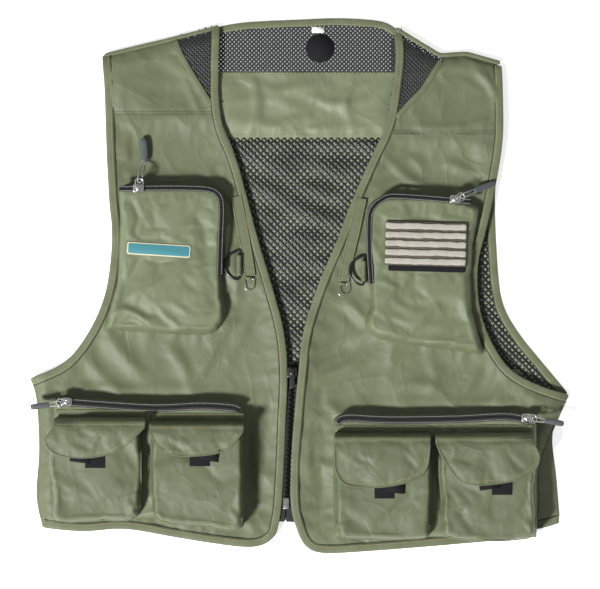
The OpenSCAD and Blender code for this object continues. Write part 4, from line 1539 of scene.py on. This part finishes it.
        # The hook patch is real; its shift aside lets a strip of it show past the flap's edge as a painted
        # shadow beside the loop patch.
        hook = slab((11, 7), 0.9, (x + aside, y + 2.5, FLAP_TOP - 2.1), askew)
        piece("hook_patch_" + self.word, hook, PILE, self.body)
        loop = slab((11, 12), 0.9, (x, y + 1.5, BELLOWS_TOP - 0.15), edge=0.2)
        piece("loop_patch_" + self.word, loop, PILE, nodes=["loop_patches"])
        x0, x1 = self.span
        band = even(np.array([(x0, self.seam + 3.4), (x1, self.seam + 3.4)], float), 4)
        piece("flap_band_" + self.word, sweep(lifted(band, MAIN_TOP + 0.3), flat_band(8, 1.2, 0.2)), TAPE,
              levels=1)
        rows = [lifted(band + (0, 2.6), MAIN_TOP + 1.0)]
        piece("band_stitches_" + self.word, stitches(rows, 2.6, 1.6, 0.45), THREAD)


@dataclass
class Pull:
    """A zip pull: slider, tab, cord and grip.

    Attributes:
        word: which one.
        pivot: the pin that the tab turns on.
        turn: which way it points, in degrees.
        start: how far along the grip starts.
        drop: how far down that end hangs.
        tip: how far the grip tips down, in degrees.
        grip: the grip's length and width.
        plate_turn: the slider's turn, in degrees.
        bend: how far the grip curves sideways.
    """

    word: str
    pivot: tuple[float, float, float]
    turn: float
    start: float
    drop: float
    tip: float
    grip: tuple[float, float]
    plate_turn: float
    route: tuple[tuple[float, float, float], ...]
    bend: float = 0.0

    def place(self) -> Matrix:
        """From along, across and up the pull to the vest's own frame."""
        return Matrix.Translation(self.pivot) @ Matrix.Rotation(math.radians(self.turn), 4, "Z")

    def build(self) -> None:
        """Makes the pull."""
        x, y, z = self.pivot
        part, side = self.word.split("_")
        slide, swing = f"{part}_slide_{side}", f"{part}_pull_{side}"
        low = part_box(f"{part}_slider_{side}")[0].z / MM
        shell = slab((6, 4.5), 2.4, (x, y, low + 1.25), self.plate_turn, corner=2.4, edge=0.7)
        arch = [(-4.6, low + 2.3), (-4.2, low + 3.6), (-2.6, low + 4.7), (0, low + 5.1), (2.6, low + 4.7),
                (4.2, low + 3.6), (4.6, low + 2.3)]
        a = math.radians(self.turn)
        way = np.array([math.cos(a), math.sin(a)])
        line = np.array([(x + way[0] * u * 0.9, y + way[1] * u * 0.9, h) for u, h in arch])
        bridge = sweep(smooth(line, 3), flat_band(3.0, 0.9))
        piece(f"{self.word}_slider_shell", shell, SILVER, slide, [f"{part}_slider_{side}"])
        piece(f"{self.word}_slider_bridge", bridge, SILVER, slide)
        m = np.array(self.place())

        def out(points: np.ndarray) -> np.ndarray:
            """Points of the pull, in the vest's frame."""
            return points @ m[:3, :3].T + m[:3, 3]
        wire = smooth([(9.9, 2.2, 0), (8.6, 3.9, 0), (6, 4.2, 0), (2.6, 3.0, 0), (0.2, 2.4, 0),
                       (-1.1, 0, 0.1),
                       (0.2, -2.4, 0), (2.6, -3.0, 0), (6, -4.2, 0), (8.6, -3.9, 0), (9.9, -2.2, 0),
                       (10.4, 0, 0), (9.9, 2.2, 0)], 3)
        piece(f"{self.word}_bail", sweep(out(wire), round_profile(0.85, 8), loop=True), SILVER, swing,
              [f"{part}_tab_{side}"], levels=1)
        path = out(smooth(self.route, 3))
        cord = piece(f"{self.word}_cord", sweep(path, round_profile(0.75, 8)), CORD, swing,
                     [f"{part}_cord_{side}"])
        long, wide = self.grip
        t = math.radians(self.tip)
        u = np.linspace(0, 1, 17)
        line = np.stack([self.start - 1 + (long + 1) * u * math.cos(t), self.bend * u * u,
                         -self.drop - long * u * math.sin(t)], 1)
        size = 0.9 + 0.12 * np.sin(np.clip(u * 1.6 + 0.1, 0, 1) * np.pi / 2)
        size[-3:] *= (0.98, 0.88, 0.6)
        size[0] *= 0.8
        grip = piece(f"{self.word}_grip", sweep(out(line), flat_band(wide, 3.0, 0.5), size), GRIP, swing,
                     [f"{part}_grip_{side}"], levels=1)
        run = float(np.linalg.norm(np.diff(path, axis=0), axis=1).sum()) * MM


LONG_CORD = ((30, 1.6, -17), (26, 1.8, -15.6), (22, 2, -10.8), (18, 2.2, -4.8), (14, 2.2, -0.2),
             (10.4, 2.2, 1.5), (8.2, 2, 1.1), (6.6, 1.2, 0.5), (6.1, 0, 0), (6.6, -1.2, -0.5),
             (8.2, -2, -1.1), (10.4, -2.2, -1.6), (14, -2.2, -2.8), (18, -2.2, -7), (22, -2, -12.6),
             (26, -1.8, -16.2), (30, -1.6, -17))
MIDDLE_CORD = ((24, 1.6, -13), (21, 1.8, -10.4), (18, 2, -6.4), (14.6, 2.2, -1.4), (10.4, 2.2, 1.5),
               (8.2, 2, 1.1), (6.6, 1.2, 0.5), (6.1, 0, 0), (6.6, -1.2, -0.5), (8.2, -2, -1.1),
               (10.4, -2.2, -1.6), (14.2, -2.2, -3.8), (18, -2, -8.2), (21, -1.8, -11.4),
               (24, -1.6, -13))
SHORT_CORD = ((20, 1.6, -1.8), (17, 1.9, -1), (14, 2.2, 0.6), (10.6, 2.2, 1.4), (8.2, 2, 1.1),
              (6.6, 1.2, 0.5), (6.1, 0, 0), (6.6, -1.2, -0.5), (8.2, -2, -1.1), (10.4, -2.2, -1.6),
              (13.6, -2.2, -2), (17, -1.9, -2.1), (20, -1.6, -1.8))


@dataclass
class FrontZip:
    """The open front zip, with its slider and tab."""

    top: tuple[float, float] = (-7.6, -88)
    bottom: tuple[float, float] = (-15.4, -258)

    def build(self) -> None:
        """Makes the zip."""
        line = even(np.array([self.top, self.bottom], float), 4)
        for s, word in ((-1, "left"), (1, "right")):
            half = beside(line, -s * 5.8)
            piece("front_tape_" + word, sweep(lifted(half, 7.8), flat_band(10.4, 0.8)), ZIP_TAPE,
                  nodes=["front_zip_tapes"])
        tooth = even(np.array([self.top, (-14.05, -231)], float), 2.5)
        places = lifted(tooth, 9.3)
        turn = math.atan2(self.bottom[1] - self.top[1], self.bottom[0] - self.top[0])
        shift = np.where(np.arange(len(places)) % 2 == 0, 0.7, -0.7)
        places[:, 0] += shift
        piece("front_teeth", bricks(places, np.full(len(places), turn), (1.5, 4.6, 1.8)), TEETH,
              nodes=["front_zip_teeth"])
        piece("front_zip_box", slab((3, 6), 2.6, (-14.6, -238, 9.5), corner=1, edge=0.4), SILVER)
        x, y, z = -8.1, -95.0, FRONT_TOP
        piece("front_slider_shell", slab((5.2, 5.5), 2.2, (x, y, z + 2.0), corner=2.2, edge=0.6), BLACK_METAL,
              "front_slide", ["front_slider"])
        arch = np.array([(x, y + 4.2, z + 2.9), (x, y + 3.8, z + 4.8), (x, y + 1.6, z + 5.9),
                         (x, y - 1.2, z + 5.9), (x, y - 3.6, z + 4.8), (x, y - 4.2, z + 2.9)])
        piece("front_slider_bridge", sweep(smooth(arch, 3), flat_band(3.0, 1.0)), BLACK_METAL, "front_slide")
        tab = slab((7.6, 2.8), 1.3, (x, y - 9.4, z + 4.5), -90, corner=1.8, edge=0.35)
        piece("front_tab_leaf", tab, BLACK_METAL, "front_pull", ["front_tab"])
        pin = np.array([(x - 4.3, y, z + 4.5), (x, y, z + 4.5), (x + 4.3, y, z + 4.5)])
        piece("front_tab_pin", sweep(pin, round_profile(0.75, 10)), BLACK_METAL, "front_pull")


# Where the badge is, and how far it and the fly patch are turned, in degrees
BADGE_AT, BADGE_TURN, FLY_TURN = (-153, 38.7), -3.6, -1.5


@dataclass
class Hardware:
    """Rings, wire loops, tool strips, badge and fly patch."""

    def build(self, fronts: Fronts) -> None:
        """Makes them.

        Args:
            fronts: the finished fronts.
        """
        top = fronts.surface
        strips = {"left": [(-69.5, 98), (-62, 60), (-56, 24), (-54, 9.8)],
                  "right": [(67.5, 96), (60, 60), (52, 26), (48, 3.8)]}
        for word, x, y in (("left", -66, 22), ("right", 70, 16)):
            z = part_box("d_ring_" + word)[0].z / MM + 1.5
            a = np.linspace(90, 270, 15)
            arc = [(x + 15.5 * math.cos(math.radians(t)), y + 15.5 * math.sin(math.radians(t)), z) for t in a]
            bar = [(x, y + h, z) for h in (-12, -6, 0, 6, 12)]
            line = np.array([*arc, *bar, arc[0]])
            piece("tool_ring_" + word, sweep(line, round_profile(1.5, 12), loop=True), BLACK_PLASTIC,
                  "ring_" + word, ["d_ring_" + word], levels=1)
            cuff = np.array([(x, y + h, z) for h in np.linspace(-12, 12, 9)])
            wide = 1 + 0.05 * np.sin(np.arange(9) * 2.1)
            piece("ring_cuff_" + word, sweep(cuff, round_profile(2.9, 14), wide), TAPE, levels=1)
            line = smooth(strips[word], 6)
            strip = sweep(lifted(line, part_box("tool_strips")[0].z / MM + 0.2), flat_band(13, 0.7, 0.1))
            piece("tool_strip_" + word, strip, OLIVE, nodes=["tool_strips"], levels=1)
            rows = [lifted(beside(line, s * 5.2), FRONT_TOP + 1.35) for s in (-1, 1)]
            piece("strip_stitches_" + word, stitches(rows), THREAD)
        for word, x, y in (("left", -55, 8), ("right", 47, 2)):
            z = 12.0
            u = [(x - 3.6, y, z), (x - 5, y - 1, z), (x - 5, y - 5, z), (x - 5, y - 9, z)]
            bow = [(x + 5 * math.cos(math.radians(t)), y - 9 + 5 * math.sin(math.radians(t)), z)
                   for t in np.linspace(205, 335, 8)]
            back = [(x + 5, y - 9, z), (x + 5, y - 5, z), (x + 5, y - 1, z), (x + 3.6, y, z), (x, y, z),
                    (x - 3.6, y, z)]
            wire = sweep(np.array([*u, *bow, *back]), round_profile(0.6, 8), loop=True)
            piece("wire_" + word, wire, SILVER, "wire_" + word, ["wire_loop_" + word], levels=1)
            cuff = np.array([(x + h, y, z) for h in (-3.7, 0, 3.7)])
            piece("wire_cuff_" + word, sweep(cuff, round_profile(1.7, 10)), TAPE)
        x, y = BADGE_AT
        rim = slab((34.5, 6.75), 0.8, (x, y, CHEST_TOP + 0.5), BADGE_TURN, corner=2.5, edge=0.25)
        piece("badge_rim", rim, CREAM, nodes=["chest_badge"])
        middle = slab((33.2, 5.5), 0.8, (x, y, CHEST_TOP + 0.75), BADGE_TURN, corner=1.8, edge=0.2)
        piece("badge_field", middle, TEAL)
        pile = slab((42, 26), 0.9, (139, 41, CHEST_TOP + 0.4), FLY_TURN, corner=2, edge=0.2)
        piece("fly_pile", pile, PILE, nodes=["fly_patch_base"])
        self.foam()

    def foam(self) -> None:
        """Makes the ribbed foam patch that flies are stuck in."""
        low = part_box("fly_patch")[0].z / MM
        across, along, ribs = 47.5, 88.0, 5
        m = np.array(Matrix.Translation((137, 45, 0)) @ Matrix.Rotation(math.radians(FLY_TURN), 4, "Z"))
        # The dark base shows between the ribs as painted shade in the grooves.
        bottom = slab((44, 23.75), 2.0, (137, 45, low + 1.0), FLY_TURN, corner=0.8, edge=0.3)
        base = piece("foam_base", bottom, FOAM_SHADE, "fly_patch", ["fly_patch"])
        wobble = waves(9, 14)
        for k in range(ribs):
            y = (k - 2) * across / ribs
            u = np.linspace(-along / 2, along / 2, 60)
            up = low + 2.6 + 0.15 * wobble(u, 5 * k + 0 * u)
            line = np.stack([u, y + 0.25 * wobble(u, u * 0 + 9 * k), up], 1)
            size = 1 + 0.05 * wobble(u * 1.7, 31 * k + 0 * u)
            size[0] = size[-1] = 0.82
            rib = sweep(line @ m[:3, :3].T + m[:3, 3], flat_band(6.7, 2.8, 0.1), size)
            piece(f"foam_rib_{k}", rib, FOAM, "fly_patch", levels=1)


# ---------------------------------------------------------------- stage
def light_and_camera() -> None:
    """Sets the camera straight above, a pale floor, a soft bright world and a key light."""
    scene = bpy.context.scene
    camera = bpy.data.objects.new("camera", bpy.data.cameras.new("camera"))
    camera.data.sensor_width, camera.data.lens = 36, 200
    camera.data.clip_end = 20
    camera.location = (0.0005, -0.0098, 3.648)
    scene.collection.objects.link(camera)
    scene.camera = camera
    floor_mesh = bmesh.new()
    bmesh.ops.create_grid(floor_mesh, x_segments=1, y_segments=1, size=30)
    mesh = bpy.data.meshes.new("floor")
    floor_mesh.to_mesh(mesh)
    floor_mesh.free()
    floor = bpy.data.objects.new("floor", mesh)
    scene.collection.objects.link(floor)
    paper = bpy.data.materials.new("pale_floor")
    paper.use_nodes = True
    for socket, value in (("Base Color", (0.9, 0.9, 0.9, 1)), ("Emission Color", (1, 1, 1, 1)),
                          ("Emission Strength", 0.6), ("Roughness", 0.9)):
        paper.node_tree.nodes["Principled BSDF"].inputs[socket].default_value = value
    mesh.materials.append(paper)
    floor.location.z = -0.0005
    world = bpy.data.worlds.new("soft_light")
    world.use_nodes = True
    world.node_tree.nodes["Background"].inputs["Color"].default_value = (1, 1, 1, 1)
    world.node_tree.nodes["Background"].inputs["Strength"].default_value = 0.3
    scene.world = world
    for name, at, size, power in (("key", (-3.15, -2.85, 4.7), 0.85, 835), ("fill", (1.6, 1.2, 2.6), 1.6, 6)):
        lamp = bpy.data.lights.new(name, "AREA")
        lamp.size, lamp.energy = size, power
        lamp_object = bpy.data.objects.new(name, lamp)
        lamp_object.location = at
        lamp_object.rotation_euler = (Vector((0, 0, 0)) - Vector(at)).to_track_quat("-Z", "Y").to_euler()
        scene.collection.objects.link(lamp_object)
    scene.view_settings.view_transform = "Standard"


def main() -> None:
    """Builds the vest in order."""
    logging.basicConfig(level=logging.INFO, format="%(message)s")
    light_and_camera()
    c = Cut
    cz, lz = CHEST_TOP + 5.2, MAIN_TOP + 5.2
    Pull("chest_left", (-175, 105.5, cz), 80, 30, 17, 0, (25, 8), 0, LONG_CORD, 6).build()
    Pull("chest_right", (169, 93.5, cz), 24, 24, 13, 9, (24, 7), -3, MIDDLE_CORD, -1.5).build()
    Pull("lower_left", (-253, -126.8, lz), 188, 20, 1.8, 0, (20, 6.5), -4, SHORT_CORD).build()
    Pull("lower_right", (247, -144, lz), -8, 20, 1.8, 0, (21, 6.5), 0, SHORT_CORD, -0.8).build()
    Back().build()
    fronts = Fronts()
    fronts.build()
    Trim().build(fronts)
    FrontZip().build()
    zips = (("chest_zip_l", c.CHEST_ZIP_LEFT, CHEST_TOP, 6, "chest_zip_left"),
            ("chest_zip_r", c.CHEST_ZIP_RIGHT, CHEST_TOP, 6, "chest_zip_right"),
            ("lower_zip_l", c.LOWER_ZIP_LEFT, MAIN_TOP, 9, "lower_zip_left"),
            ("lower_zip_r", c.LOWER_ZIP_RIGHT, MAIN_TOP, 9, "lower_zip_right"))
    for row in zips:
        Zip(*row).build()
    low = FRONT_TOP - 1.0
    Pocket("chest_cloth_left", c.CHEST_LEFT, low, CHEST_TOP, c.CHEST_ZIP_LEFT, "chest_pocket_left",
           CHEST_FOLDS_LEFT, seed=5, pads=(box_outline(BADGE_AT, (38, 10), BADGE_TURN),)).build()
    Pocket("chest_cloth_right", c.CHEST_RIGHT, low, CHEST_TOP, c.CHEST_ZIP_RIGHT, "chest_pocket_right",
           CHEST_FOLDS_RIGHT, seed=6, pads=(box_outline((138.5, 43), (46, 29), FLY_TURN),)).build()
    Pocket("main_cloth_left", c.MAIN_LEFT, low, MAIN_TOP, c.LOWER_ZIP_LEFT, "lower_pocket_left", fall=7,
           seed=7).build()
    Pocket("main_cloth_right", c.MAIN_RIGHT, low, MAIN_TOP, c.LOWER_ZIP_RIGHT, "lower_pocket_right", fall=7,
           seed=8).build()
    Bellows("outer_left", 0, -142, (-266, -167), np.array(
        [(-266, -154), (-276, -167), (-266, -182), (-240, -187), (-214, -185), (-192, -177),
         (-167, -154)], float),
        "bellows_pockets_left", "flap_outer_left").build()
    Bellows("inner_left", 1, -146, (-162, -60), np.array(
        [(-162, -158), (-157, -171), (-140, -183), (-112, -185), (-80, -179), (-60, -158)], float),
        "bellows_pockets_left", "flap_inner_left").build()
    Bellows("inner_right", 2, -159, (38, 142), np.array(
        [(38, -171), (38, -198), (50, -216), (84, -219), (122, -212), (138, -198), (142, -171)], float),
        "bellows_pockets_right", "flap_inner_right").build()
    Bellows("outer_right", 3, -159, (147, 254), np.array(
        [(147, -171), (158, -193), (176, -213), (205, -216), (244, -208), (260, -190), (254, -171)], float),
        "bellows_pockets_right", "flap_outer_right").build()
    Hardware().build(fronts)


if __name__ == "__main__":
    main()
